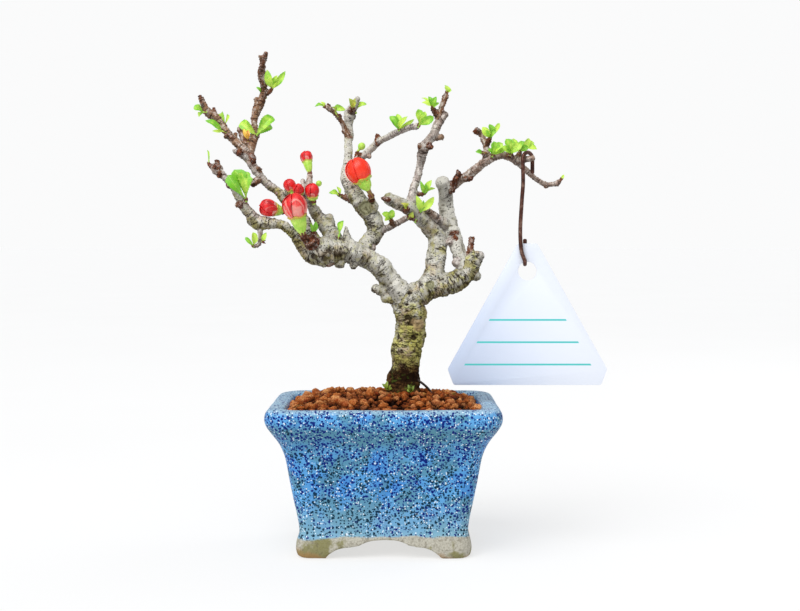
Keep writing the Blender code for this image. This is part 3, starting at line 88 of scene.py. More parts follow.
# Each limb is a list of points: across, up, depth behind the trunk's plane, radius.
LIMBS = {
    "trunk": ((0.5, 58.6, 0, 4), (1, 66.6, 0, 9), (1.5, 78.6, 0, 8.2), (3, 89.6, 0, 7.2),
        (3.4, 97.6, 0, 7.6), (5, 103.1, 0, 7.3), (5.5, 111.1, 0, 7.6), (5, 116.6, 0, 8.1),
        (4, 122.1, 0, 7.4)),
    "left_limb": ((3, 120.6, 0, 6.6), (0, 126, -1, 5.8), (-6, 133, -2, 4.9), (-10, 138.5, -3, 5.1),
        (-17, 142.5, -4, 4.8), (-24, 146, -5, 5.6), (-31, 147, -6, 6.6), (-39, 146, -8, 7.2),
        (-44.5, 145.7, -8, 5.4), (-47.5, 149.2, -8, 3.7)),
    "low_left_branch": ((-46.5, 147, -8, 4), (-51.5, 153.5, -9, 2.8), (-56, 157.5, -10, 2.3),
        (-60, 159.8, -10, 2.3), (-67, 160.3, -9, 3), (-72.3, 161.3, -8, 3.5), (-75, 165, -7, 2.6),
        (-78, 168.5, -6, 2.5), (-80, 172.5, -5, 2.2), (-83.3, 178.5, -4, 2), (-86.5, 182.2, -3, 1.9),
        (-89.5, 185.3, -2, 1.9), (-91.5, 187.2, -1.5, 3.1), (-92.3, 189, -1.5, 1.9)),
    "upper_left_branch": ((-43, 150, -4, 4.2), (-46.5, 158, -1, 3.1), (-48.5, 162.5, 2, 2.8),
        (-53, 168, 4, 2.6), (-57.5, 172.5, 4, 2.7), (-62, 177, 4, 2.2), (-66, 179.6, 4, 2.1),
        (-70.7, 185, 4, 2), (-74.5, 191, 4, 2.2), (-75.5, 196.6, 4, 2.6)),
    "far_left_twig": ((-75.5, 195.2, 4, 2.4), (-79.5, 198.5, 3, 2.3), (-83, 201.8, 2, 2),
        (-86.5, 206, 1, 1.8), (-89.3, 209.5, 0, 1.8), (-92, 213, -1, 2.2), (-95.5, 215.3, -1, 2.2),
        (-97.7, 218.6, -1, 1.8), (-99.5, 222.8, -1, 1.5)),
    "crown_left_twig": ((-75.5, 195.2, 4, 2.5), (-74, 201.5, 5, 2.5), (-72.5, 204.8, 6, 2.1),
        (-72.8, 211, 7, 1.5), (-72, 216, 8, 2.1), (-70.3, 219.5, 8, 2.6), (-68.5, 224, 8, 2),
        (-68, 227.5, 8, 1.8), (-68.2, 231, 7, 2.2), (-69, 234.5, 7, 2.2), (-69, 239, 6, 1.5),
        (-67.8, 243, 6, 1.5), (-67, 245.5, 6, 1.3)),
    "bud_branch": ((-32, 149.5, -4, 4.6), (-35, 156, 0, 4), (-38, 160.5, 2, 3.6), (-41.5, 165, 2, 3),
        (-44.5, 169.5, 0, 2.5), (-46.3, 173.5, -2, 2.3), (-45.5, 177.5, -2, 1.9), (-45.3, 181, -2, 1.6),
        (-45, 184, -2, 1.5)),
    "middle_branch": ((-20, 144, -2, 4), (-16, 150.5, 3, 3.9), (-12.8, 154.5, 5, 4.2),
        (-12.3, 159, 6, 4.5), (-14.5, 164, 6, 4.4), (-18.5, 169, 5, 4.5), (-22, 173.8, 4, 4.3),
        (-24.5, 179, 3, 4), (-26.8, 183.5, 3, 3.1), (-26.3, 189.5, 3, 2.4), (-25.7, 194, 4, 2.1),
        (-25.8, 200.5, 6, 2.1), (-25.5, 204, 7, 2.4), (-25.5, 209, 8, 2), (-25.3, 213.5, 9, 2.9),
        (-24.8, 216.5, 10, 2.7), (-22.5, 219.5, 11, 1.9), (-21, 223, 12, 1.5)),
    "fine_twig": ((-25.5, 203, 6, 1.9), (-27.5, 207.5, 4, 1.4), (-29.5, 211.5, 2, 1.2),
        (-33, 215.8, 0, 1.2), (-36.5, 218.3, -2, 1.5)),
    "slant_twig": ((-26, 188.6, 3, 2), (-21.5, 192, 1, 1.9), (-18.5, 193.8, 0, 1.8), (-15, 197, -1, 1.8),
        (-10.7, 201.1, -2, 1.7), (-5, 204, -3, 1.6), (1.2, 206.9, -4, 1.5), (5.5, 208.3, -5, 1.5),
        (8.7, 208.9, -5, 1.8)),
    "cross_twig": ((-12, 156, 4, 2.1), (-5, 158.5, 6, 1.6), (-1, 160.5, 7, 1.5), (3.5, 163, 8, 1.5)),
    "right_limb": ((3, 119, 0, 6.8), (8, 124, 0, 6.5), (13.5, 127, 0, 5.7), (20, 129, -1, 5.6),
        (27, 131, -2, 5.4), (33, 135, -2, 5.1), (35.5, 140, -2, 4.9), (37, 144, -2, 3.9)),
    "rising_limb": ((11, 125.6, 0, 5.2), (16, 132, 1, 5.6), (17.5, 138, 2, 5.2), (18.3, 144.5, 2, 4.8),
        (18.7, 149.5, 2, 4.7), (18.3, 153.2, 2, 4.6), (15.5, 157.5, 1, 4.1), (11.5, 162, 0, 3.8),
        (7.5, 165.5, -1, 3.5), (3, 168.5, -2, 3.3), (-1.5, 170.5, -3, 3.2), (-6.2, 172.8, -5, 3.1)),
    "front_twig": ((7, 164.6, -1, 2.6), (5.8, 170.5, 0, 2.5), (6.5, 176.5, 1, 2.1), (8.5, 182.5, 2, 2),
        (10, 189, 3, 2), (11.3, 195.5, 3, 2.5), (12.3, 198.8, 3, 2.8), (14, 201, 3, 2.2),
        (16.7, 204.8, 3, 2.1), (19, 210, 3, 2.1), (21.3, 213.5, 3, 2.2), (23, 215.2, 3, 1.8)),
    "front_twig_tip": ((19.3, 212, 3, 1.9), (20.3, 216.5, 2, 1.4), (21.8, 221, 1, 1.3),
        (23, 224.2, 0, 1.6)),
    "tall_stub": ((32, 136.6, -2, 3.6), (30, 143.5, -1, 3.5), (28, 150.5, 0, 3.8), (25.5, 158.5, 1, 3.9),
        (23.3, 166, 1, 4), (23, 171.5, 1, 3.7), (22.5, 177, 1, 3.7), (20.9, 181.5, 1, 3.4)),
    "tag_branch": ((23, 177, 1, 2.5), (27, 179.7, 0, 2.6), (30, 182, 0, 2.2), (34, 184.3, -1, 2.2),
        (38.5, 187.8, -2, 2.2), (43, 191.3, -3, 2.2), (47.5, 193.3, -3, 1.8), (51.5, 194.3, -4, 1.8),
        (55, 193.3, -4, 2), (58.3, 191.5, -3, 2), (61.5, 188.3, -2, 1.5), (64.3, 185.8, -1, 1.4),
        (68, 182.5, 0, 1.3), (72.5, 179.8, 1, 1.3), (76, 179.8, 1, 1.2), (79, 180.3, 1, 1.6)),
    "tag_branch_side": ((42.6, 190.2, -3, 2.1), (43.3, 197.5, -2, 1.7), (41.8, 202.5, -1, 1.5),
        (40.5, 205.8, 0, 1.6)),
    "hanging_twig": ((-70, 159, -9, 1.5), (-69.8, 153, -10, 1.1), (-70.6, 149.6, -10, 1),
        (-72.6, 148.8, -10.5, 1.1)),
}

# Short growths on the limbs: spurs, cut stubs, knobs and lumps of bud scales. Each row has two points
# as a limb's are, and how young the skin looks, from 0, grey bark, to 1, red-brown scales.
SPURS = (
    (-8, 126, -2, 2.7, -13, 127.8, -3, 2.3, 0.1), (-4, 123, -1, 3, -8.2, 123.3, -2, 2.6, 0.15),
    (-30, 143, -7, 3, -30, 139, -8, 2.5, 0.12), (-23, 142, -6, 2.4, -23.3, 138.5, -6, 1.9, 0.12),
    (-26.5, 152, -5, 2.5, -27.1, 158.8, -5, 0.6, 0.15), (-34.5, 159, 1, 2.4, -35.3, 164, 0, 2, 0.1),
    (-42.5, 149, -10, 3.4, -45, 151.5, -14.5, 3, 0.95),
    (-45, 151, -14, 2.4, -47.6, 152.8, -16, 1.8, 0.95),
    (-43.5, 151.5, -12, 2, -43.2, 155.2, -12, 1.4, 0.95), (-47, 174, -1, 1.6, -48.7, 182, 0, 1.1, 0.4),
    (-46.5, 173.5, -2, 1.9, -50.8, 174.2, -4, 1.5, 0.5),
    (-45.9, 171.6, -1.4, 2.1, -44.2, 172.5, -5, 1.4, 0.5), (-55, 169, 4, 1.9, -57.6, 166.5, -4, 1.4, 0.2),
    (-57.5, 174, 4, 2.2, -56.5, 176.2, 1, 2, 0.15), (-69.5, 182.5, 4, 1.5, -74, 180.3, 3, 2, 0.75),
    (-74.8, 191.6, 4, 1.9, -83, 196.6, 4, 1.3, 0.35), (-76.5, 198, 4, 1.7, -80.2, 207.6, 3, 1.4, 0.8),
    (-70.8, 218.5, 8, 1.9, -71.9, 222.8, 8, 1.3, 0.7), (-69, 241, 6, 1, -70.3, 244.2, 5, 0.7, 0.7),
    (-67.8, 224.2, 8, 1.4, -64.6, 226.6, 7.5, 1.2, 0.85), (-72.6, 203.5, 6, 2, -72, 204.2, 3.6, 1.5, 0.7),
    (-92.4, 214, -1, 1.3, -93.1, 217.6, -1, 0.9, 0.9), (-86, 205, 1, 1.1, -87.6, 203.2, 0, 0.8, 0.8),
    (-83, 202, 2, 1.4, -82.3, 205, 2, 1, 0.8), (-91.5, 187.5, -1.5, 1.7, -91.4, 191.6, -1.5, 1.1, 0.9),
    (-92, 187.5, -1.5, 1.9, -95.2, 189.2, -2, 1, 0.85), (-79.5, 170, -6, 1.6, -77.2, 171.2, -7, 1.2, 0.5),
    (-79, 169.5, -6, 1.4, -82, 169.6, -6, 1, 0.5), (-82.5, 177, -4, 1.3, -81.3, 178.2, -5, 1, 0.8),
    (-14.5, 167, 5, 3, -13.6, 169.2, 1.8, 2.9, 0.12), (-15, 149.5, 2, 2.5, -13.6, 147.4, 1, 2, 0.5),
    (-25, 172.2, 4, 2, -29.6, 173.9, 2, 1.1, 0.85), (-13.8, 170.2, 4, 1.8, -14.3, 173.4, -2, 1.3, 0.95),
    (-21.8, 191.5, 1, 1.5, -21.3, 195.5, 0, 1.1, 0.9), (-11.2, 200.5, -2, 1.7, -11, 204, -2, 1.5, 0.9),
    (-16.5, 195.6, 0, 1.4, -15.2, 193.2, -1, 1, 0.5), (-35, 217.4, -1, 1.4, -36, 219.6, -1, 1, 0.9),
    (-24.4, 216, 9, 2.2, -23.9, 217.5, 6.9, 1.7, 0.9), (-3.4, 159.5, 6, 1.5, -4.4, 161.8, 5, 1.2, 0.8),
    (37, 143, -2, 3.2, 40.4, 144.5, -2, 2.4, 0.25), (34.5, 135, -2, 3.4, 38.9, 133.8, -2, 2.6, 0.2),
    (35, 144, -3, 1.9, 35.8, 153, -3, 1.5, 0.9), (29.6, 142, -2, 2.7, 27.7, 139.8, -2.5, 2.1, 0.4),
    (23.5, 159, 0, 2.9, 18.2, 162.8, -3, 2.2, 0.3), (18.6, 162.5, -3, 2.2, 12.9, 167.8, -5, 1.2, 0.55),
    (27, 154.6, 0, 2, 28.5, 155.6, -3.7, 0.8, 0.95), (27, 154.6, 0, 2, 26.2, 155.2, -3.9, 0.9, 0.95),
    (27, 153.6, 0, 2, 27.8, 152.9, -3.9, 0.8, 0.95), (26, 151.5, 0, 2.4, 24.4, 150.6, -3.4, 1.5, 0.4),
    (12.3, 198.6, 3, 2.2, 9.6, 198.8, 2, 1.7, 0.7), (13.5, 199.2, 3, 2, 15.2, 198.8, 1, 1.5, 0.95),
    (16.6, 202.6, 3, 1.3, 21.3, 203.4, 2, 1.6, 0.6), (19, 213.5, 3, 1.6, 16.4, 217.6, 1, 1.3, 0.9),
    (6.5, 175, 1, 1.6, 11.6, 174.8, -2, 1.1, 0.85), (6.5, 165, -2, 2, 9.4, 166.2, -4, 1.3, 0.7),
    (3, 167.5, -2, 2.4, 2.6, 167.2, -5.2, 1.6, 0.85), (6.5, 164, -1, 2.2, 4.9, 163.5, -4.4, 1.5, 0.85),
    (28.5, 181, 0, 1.6, 29.3, 186, -1, 1.2, 0.95), (40.6, 205.2, 0, 1.6, 37.9, 206.5, 0, 1.8, 1),
    (42.9, 198.6, -2, 1.4, 44.7, 202.1, -3, 1.3, 0.9), (43.2, 194, -3, 1.6, 41.6, 195.2, -5, 1, 0.8),
    (46.5, 193, -3, 1.6, 46.4, 194, -5.2, 1.1, 0.8), (55, 193.5, -4, 1.9, 55.2, 194.4, -6.6, 1.4, 0.9),
    (58, 192, -3, 1.8, 59.9, 195.4, -3, 1.4, 0.8), (57.6, 191.2, -2.8, 1.8, 66.6, 193, -11.2, 1.3, 0.55),
    (78.4, 180.3, 1, 1.2, 80.2, 181.7, 0.6, 0.9, 0.7), (72.6, 180, 1, 1.2, 73, 178, 0.6, 0.9, 0.7),
    (-6, 172, -7.6, 1.2, -8.6, 172.6, -8.4, 1, 1), (27, 180, -1.6, 1.8, 28, 183, -2.6, 1.3, 1),
    (33, 182.6, -2.8, 1.6, 35.6, 182.6, -3.6, 1.2, 0.9), (25.2, 176.8, -1.6, 1.8, 27, 177, -3, 1.3, 0.9),
    (-70, 186.6, 2, 1.4, -70.8, 188, 1, 1, 0.7), (-34.8, 141.6, -9, 2.2, -35.2, 139.6, -10.4, 1.6, 0.7),
    (-20.6, 192.6, -0.6, 1.3, -19.6, 195, -1.4, 0.9, 0.9),
    (-85, 180, -3.4, 1.4, -86.4, 178.6, -4, 1, 0.8),
    (-47.4, 152.4, -16.4, 2, -48.6, 154.4, -17.6, 1.5, 1),
    (-79.5, 196.5, 0.5, 1.6, -81, 195.2, -0.8, 1.2, 0.9),
    (-74, 194, 1.6, 1.8, -73.2, 191.6, 0.6, 1.4, 0.95),
    (-84, 203, -0.6, 1.3, -85.6, 204.6, -1.4, 1, 0.85),
    (-91, 187.6, -3.2, 1.8, -92.2, 188.8, -4.4, 1.4, 0.95),
    (-90, 185.5, -2.8, 1.5, -90.6, 184, -4.2, 1.2, 0.9),
    (-99.3, 222.4, -1, 1.3, -100.2, 224.2, -1.2, 0.9, 0.95),
    (-79.6, 170.6, -6.4, 1.8, -80.6, 169, -7.6, 1.4, 0.85),
)

# Flower buds: foot of the calyx, centre of the petals' ball (both as across, up, depth), the
# ball's radius and the calyx's radius at its widest.
BUDS = {
    "top": ((-45, 185, -2), (-46.7, 193.2, -2.4), 3.2, 2.3),
    "inner_left": ((-52.2, 174.4, -4.6), (-55, 179.2, -7), 3.1, 1.9),
    "inner_middle": ((-49.6, 174.6, -5.6), (-50.8, 177.2, -10.2), 2.8, 2),
    "inner_right": ((-43.2, 171.8, -6.4), (-43.9, 176.4, -9.4), 3.6, 2.4),
    "low_left": ((-58.6, 166.2, -4.8), (-65.6, 167.9, -9), 4.4, 3),
    "low_front": ((-48.8, 155.4, -17.6), (-52.4, 168.4, -20.5), 6.1, 3.8),
    "middle": ((-14.6, 174.5, -3.4), (-20.6, 186.2, -10.4), 6.3, 3.3),
}
# How much of a calyx is a brown stalk, from its foot.
STALKS = {"middle": 0.42, "top": 0.12}
# Buds that are still green balls: foot, centre, radius.
GREEN_BUDS = {
    "slant": ((-21, 196.4, -0.4), (-19.2, 198.8, -0.8), 1.9),
    "spur": ((-43.6, 175.6, -1.6), (-40.6, 180.2, -3.4), 1.5),
}

# Leaf tufts: the root, then each leaf's tip with its width.
TUFTS = {
    "far_left_tip": ((-98.6, 215.8, -2), (-103.2, 218.5, -4, 3.6), (-101, 214.2, 1, 2.2)),
    "far_left_under": ((-89.2, 206.4, -1), (-97, 212, -5, 3.4), (-93.6, 206.5, -3, 1.6)),
    "far_left_back": ((-87.6, 210, 1.6), (-90, 215.8, 6, 3.4), (-86, 215.3, 4, 1.6)),
    "crown_left": ((-64, 227.8, 7), (-66.6, 236.8, 4, 4.2), (-57.4, 236.1, 7, 3.4),
        (-61.6, 234.2, 6, 3.4)),
    "crown_left_small": ((-69.6, 226, 7), (-71.6, 228.4, 5, 1.8)),
    "fork_left": ((-71.8, 204.4, 2.4), (-79.8, 211, 0, 5.4), (-63.7, 214, -2, 5.8),
        (-64.2, 209.8, 3, 3.8)),
    "fork_bud": ((-76.2, 202.2, 1), (-78.2, 207.6, -3.6, 2.2), (-76, 207, -3.6, 1.9)),
    "low_left_fan": ((-77, 172.2, -7.6), (-85.8, 184, -10, 5.6), (-78.4, 186.2, -13, 6.4),
        (-82.2, 187, -11.4, 6.6), (-75, 183.6, -9, 3.6)),
    "low_left_sprout": ((-95.6, 190, -2.2), (-96.2, 197.4, -2.6, 0.9)),
    "hanging": ((-73.4, 149.2, -10.8), (-73.2, 155.6, -12.6, 3.4), (-77.2, 153.2, -12, 2)),
    "hanging_small": ((-68.6, 151.2, -10.4), (-67, 155.6, -11.6, 2.4)),
    "spur_front": ((-43.1, 156, -12.4), (-42, 161, -14, 2.8), (-44.6, 160, -15, 2.2)),
    "limb_top": ((-30.2, 155.2, -6), (-28.6, 162, -3, 3)),
    "middle_left": ((-30.2, 174.2, 1.4), (-35.4, 175.8, 0, 3), (-31.4, 178.8, 1, 1.8)),
    "fine_twig_tip": ((-37.6, 218.5, -2.2), (-42.4, 219.1, -4, 2.4), (-39.6, 221, -3, 1.8)),
    "fine_twig_bud": ((-32.2, 215.8, -1.2), (-33.8, 218.6, -2.6, 1.9)),
    "middle_top_left": ((-26.9, 216.8, 10.6), (-33.2, 218.5, 13, 3.4)),
    "middle_top_right": ((-21.6, 218.2, 11.6), (-16.8, 220.2, 14, 3)),
    "middle_top": ((-23.9, 218.4, 6.2), (-25.2, 222.6, 3.6, 3.4), (-22.6, 222.6, 4.6, 2.6)),
    "slant_twig_side": ((-0.4, 207.6, -5.6), (-5, 214, -9, 4), (-1.2, 215.2, -4.6, 3.4),
        (3.2, 213.6, -8, 3), (7, 212.2, -2.6, 2.2), (-3, 212.2, -10, 2.4)),
    "slant_twig_end": ((9.7, 209.7, -6.2), (9.3, 217.2, -10, 4.4), (16.6, 213.4, -9, 4),
        (12.6, 216, -8, 3.2)),
    "front_twig_spur": ((16.2, 218.5, 0.6), (11.2, 220.9, -2, 2.6), (18, 223.6, -2.6, 3),
        (11, 223.4, 1, 1.8), (14.4, 223.8, -1, 2.4), (19.4, 220.6, -2, 2)),
    "front_twig_tip": ((23.3, 225.5, -0.2), (22.6, 229.4, -1.6, 3), (25, 228.2, 0.4, 2.2)),
    "front_twig_low": ((12.3, 175.2, -2.6), (10.4, 181, -5.4, 2.4), (15.6, 181.8, -5, 3.2),
        (17.4, 178, -5.4, 2), (13.2, 179.6, -6.4, 2.2)),
    "rising_limb_top": ((9.9, 166.8, -4.8), (8.4, 173.8, -7, 3.4), (17.2, 173.4, -8, 3.6),
        (12, 171.6, -6, 2.2)),
    "rising_limb_bud": ((2.6, 167.6, -6.2), (1, 170.4, -8.2, 2.6), (4.2, 170.2, -8, 2.4)),
    "rising_limb_bud_low": ((4.9, 163.8, -5.4), (6.4, 165.8, -7.6, 2.8)),
    "cross_twig": ((-4.7, 162.6, 4.4), (-8.6, 165.2, 1.4, 3.2), (-3.9, 166.8, 2.4, 3.2),
        (-7.5, 161.9, 2, 2.2)),
    "tag_branch_small": ((41, 195.6, -5.6), (38, 196.2, -7, 2.4)),
    "tag_branch_side": ((45, 203, -3.4), (41.4, 208.2, -6, 3.8), (45.2, 209.8, -5, 3.6),
        (49.8, 210.4, -4, 2.4), (43.4, 206.4, -7, 3), (47.6, 206.4, -6.4, 2.4)),
    "tag_branch_middle": ((46.4, 194.6, -6), (47.2, 201, -8.6, 4.6), (51, 200.4, -8, 4.2),
        (52.6, 197.6, -7, 3), (44.4, 197.6, -7, 2.6)),
    "tag_branch_knee": ((55.3, 195.1, -7.4), (53.4, 202.4, -10, 4.8), (57, 202.6, -8.6, 4.4),
        (60.4, 200.4, -9, 4), (51.4, 198.6, -10.6, 3.4), (59, 197.4, -10, 3)),
    "tag_branch_hook": ((60.1, 196.5, -3), (64.8, 202.6, -4, 3.6), (68.4, 198, -4, 3.4),
        (61.8, 201.6, -0.6, 3.2), (67, 201, -2, 2.8), (64, 198.6, -5, 3.2)),
    "tag_branch_end": ((80.6, 182.4, 0.4), (82, 184.6, 0, 1.4)),
}
# Tufts that are only opening.
YOUNG = ("fork_bud", "fine_twig_bud", "middle_top", "rising_limb_bud", "rising_limb_bud_low")
# The outlines of leaves, pointed and other: how fast they widen, and how fast they close.
POINTED = (1.0, 0.8)
OUTLINES = {
    "low_left_fan": (1.7, 0.28), "fork_left": (1.1, 0.36), "cross_twig": (1, 0.4), "hanging": (1, 0.4),
    "far_left_tip": (1, 0.4), "tag_branch_knee": (1.2, 0.5), "tag_branch_hook": (1.3, 0.5),
    "tag_branch_middle": (1.2, 0.5), "tag_branch_side": (1.3, 0.6), "slant_twig_end": (1.3, 0.55),
}
# Weeds that stand in the soil in front of the trunk, laid out as the tufts are.
WEEDS = {
    "left": ((-7, 77, -9.4), (-6.3, 81.4, -10.2, 1.7), (-8.8, 80, -10.6, 1.9), (-4.9, 79.2, -11, 1.5)),
    "front": ((5.6, 75.8, -11.6), (4, 79.6, -12.6, 1.5), (7, 79, -13, 1.7), (5.2, 78, -13.6, 1.4)),
}

# Roots that hold the trunk in the soil: turn about the trunk in degrees, and length.
ROOTS = ((20, 21), (105, 15), (190, 24), (285, 15))
# Along a root: share of its length, height, radius.
ROOT_SHAPE = ((0.12, 63, 3.4), (0.45, 61, 2.6), (0.8, 56, 1.8), (1, 48, 1))


def srgb(red: int, green: int, blue: int) -> Colour:
    """A colour read off the photograph's scale of 0 to 255, in linear light.

    Args:
        red, green, blue: the three channels, 0 to 255.

    Returns:
        The same colour as the shader wants it.
    """
    return tuple(
        c / 12.92 if c <= 0.04045 else ((c + 0.055) / 1.055) ** 2.4
        for c in (red / 255, green / 255, blue / 255)
    )


def seen(across: float, up: float, depth: float) -> Vector:
    """The point that shows at (across, up) from the front.

    Args:
        across: millimetres to the right on the trunk's plane.
        up: millimetres above the table on the trunk's plane.
        depth: millimetres behind the trunk's plane, before the crown's swing is added.

    Returns:
        The point in the frame, in metres.
    """
    for centre, height, reach, swing in SWINGS:
        depth += swing * exp(-((across - centre) ** 2 + (up - height) ** 2) / reach**2)
    spread = 1 + depth / EYE_BEFORE
    return Vector((across * spread, depth, EYE_ABOVE + (up - EYE_ABOVE) * spread)) * MM


class Value:
    """A shader value that takes part in ordinary arithmetic by adding Math nodes."""

    def __init__(self, paint: "Paint", socket: NodeSocket) -> None:
        """Wraps one output socket of the paint's node tree."""
        self.paint = paint
        self.socket = socket

    def _math(self, operation: str, *terms: "Value | float") -> "Value":
        """Adds one Math node for these terms."""
        return self.paint.node("ShaderNodeMath", {"operation": operation}, dict(enumerate(terms)))

    def __add__(self, other: "Value | float") -> "Value":
        """self + other."""
        return self._math("ADD", self, other)

    __radd__ = __add__

    def __sub__(self, other: "Value | float") -> "Value":
        """self - other."""
        return self._math("SUBTRACT", self, other)

    def __rsub__(self, other: float) -> "Value":
        """other - self."""
        return self._math("SUBTRACT", other, self)

    def __mul__(self, other: "Value | float") -> "Value":
        """self * other."""
        return self._math("MULTIPLY", self, other)

    __rmul__ = __mul__

    def size(self) -> "Value":
        """The value without its sign."""
        return self._math("ABSOLUTE", self)

    def wave(self) -> "Value":
        """The sine of the value."""
        return self._math("SINE", self)

    def above(self, edge: float, soft: float = 0.05) -> "Value":
        """A mask that is 1 where the value lies above an edge.

        Args:
            edge: where the mask is one half.
            soft: how far to each side of the edge it takes to turn.

        Returns:
            The mask, 0 to 1.
        """
        ends = {"Value": self, "From Min": edge - soft, "From Max": edge + soft}
        return self.paint.node("ShaderNodeMapRange", {"interpolation_type": "SMOOTHSTEP"}, ends)

    def below(self, edge: "Value | float", soft: float = 0.05) -> "Value":
        """A mask that is 1 where the value lies below an edge."""
        return (edge - self).above(0, soft) if isinstance(edge, Value) else 1 - self.above(edge, soft)

    def part(self, name: str) -> "Value":
        """One component, X, Y or Z, of a vector value."""
        return self.paint.node("ShaderNodeSeparateXYZ", {}, {0: self}, name)


Layer = tuple[Value | Colour, Value | float]


class Paint:
    """Builds the nodes of one material."""

    def __init__(self, name: str) -> None:
        """Starts a material with its one Principled shader."""
        self.material = bpy.data.materials.new(name)
        self.material.use_nodes = True
        self.tree = self.material.node_tree
        self.shader = self.tree.nodes["Principled BSDF"]

    @staticmethod
    def _pick(sockets: bpy_prop_collection, key: str | int) -> NodeSocket:
        """The socket with this identifier, name or number."""
        if isinstance(key, int):
            return sockets[key]
        return next((s for s in sockets if s.identifier == key), None) or sockets[key]

    def _feed(self, socket: NodeSocket, value: object) -> None:
        """Links a shader value to an input socket, or sets what the socket holds."""
        if isinstance(value, Value):
            self.tree.links.new(value.socket, socket)
        else:
            socket.default_value = (*value, 1) if socket.type == "RGBA" else value

    def node(
        self, kind: str, settings: dict[str, object], values: dict[str | int, object], output: str | int = 0
    ) -> Value:
        """Adds any node: its settings first, then what its sockets hold or are linked to.

        Args:
            kind: the node's type.
            settings: its properties; "stops" are a ramp's (position, colour) pairs.
            values: what goes to each input socket, by identifier, name or number.
            output: the output socket that is wanted.

        Returns:
            The wanted output, ready for arithmetic.
        """
        made = self.tree.nodes.new(kind)
        for key, setting in settings.items():
            if key != "stops":
                setattr(made, key, setting)
                continue
            ramp = made.color_ramp.elements
            while len(ramp) < len(setting):
                ramp.new(0.5)
            for element, (position, colour) in zip(ramp, setting):
                element.position = position
                element.color = (*colour, 1)
        for key, value in values.items():
            self._feed(self._pick(made.inputs, key), value)
        return Value(self, self._pick(made.outputs, output))

    def place(self, shift: Place = (0, 0, 0), stretch: Place = (1, 1, 1)) -> Value:
        """Object coordinates in millimetres.

        Args:
            shift: millimetres that are added to each axis.
            stretch: what each axis is multiplied by.

        Returns:
            The vector.
        """
        place = self.node("ShaderNodeTexCoord", {}, {}, "Object")
        scale = tuple(s / MM for s in stretch)
        return self.node("ShaderNodeMapping", {}, {"Vector": place, "Scale": scale, "Location": shift})

    def carried(self, name: str = WAY, output: str = "Vector") -> Value:
        """A value that the mesh carries at its points."""
        return self.node("ShaderNodeAttribute", {"attribute_name": name}, {}, output)

    def stretched(self, way: Value, stretch: Place) -> Value:
        """A vector with each component multiplied."""
        return self.node("ShaderNodeVectorMath", {"operation": "MULTIPLY"}, {0: way, 1: stretch})

    def _texture(self, size: float, at: Value | Place) -> dict[str, object]:
        """A texture's size and the vector that it is read at."""
        return {"Vector": at if isinstance(at, Value) else self.place(at), "Scale": 1 / size}

    def noise(
        self, size: float, at: Value | Place = (0, 0, 0), detail: float = 4, rough: float = 0.55
    ) -> Value:
        """Soft noise from 0 to 1.

        Args:
            size: millimetres from one lump to the next.
            at: where to read it: a vector, or how far object coordinates are shifted.
            detail: how many finer layers are added.
            rough: how strong those are.

        Returns:
            The noise.
        """
        values = {**self._texture(size, at), "Detail": detail, "Roughness": rough}
        return self.node("ShaderNodeTexNoise", {}, values, "Fac")

    def cells(self, size: float, at: Value | Place = (0, 0, 0)) -> tuple[Value, Value]:
        """Scattered cells.

        Args:
            size: millimetres from one cell to the next.
            at: where to read them: a vector, or how far object coordinates are shifted.

        Returns:
            The distance from the cell's middle, and a random value for the cell.
        """
        distance = self.node("ShaderNodeTexVoronoi", {}, self._texture(size, at), "Distance")
        cell = Value(self, distance.socket.node.outputs["Color"])
        return distance, self.node("ShaderNodeSeparateColor", {}, {0: cell}, "Red")

    def lay(self, colour: Value | Colour, *layers: Layer) -> Value:
        """Colours laid over another, one after the other.

        Args:
            colour: the undermost.
            layers: each colour with its mask, from 0, where it doesn't show, to 1, where it covers.

        Returns:
            The colour.
        """
        for over, mask in layers:
            values = {"Factor_Float": mask, "A_Color": colour, "B_Color": over}
            colour = self.node("ShaderNodeMix", {"data_type": "RGBA"}, values, "Result_Color")
        return colour

    def shades(self, value: Value, *stops: tuple[float, Colour]) -> Value:
        """The colours of a ramp that the value runs along."""
        return self.node("ShaderNodeValToRGB", {"stops": stops}, {0: value}, "Color")

    def relief(self, height: Value, depth: float, under: Value | None = None) -> Value:
        """A normal that is bumped by a height.

        Args:
            height: 0 to 1.
            depth: what a height of 1 is, in millimetres.
            under: a normal that this one is laid on.

        Returns:
            The normal.
        """
        values = {"Height": height, "Distance": depth * MM, "Strength": 1.0}
        if under:
            values["Normal"] = under
        return self.node("ShaderNodeBump", {}, values, "Normal")

    def finish(self, **sockets: Value | Colour | float) -> Material:
        """Sets the shader's sockets and hands the material over.

        Args:
            sockets: by the shader's own names, with _ for a space.

        Returns:
            The finished material.
        """
        for key, value in sockets.items():
            self._feed(self.shader.inputs[key.replace("_", " ")], value)
        return self.material


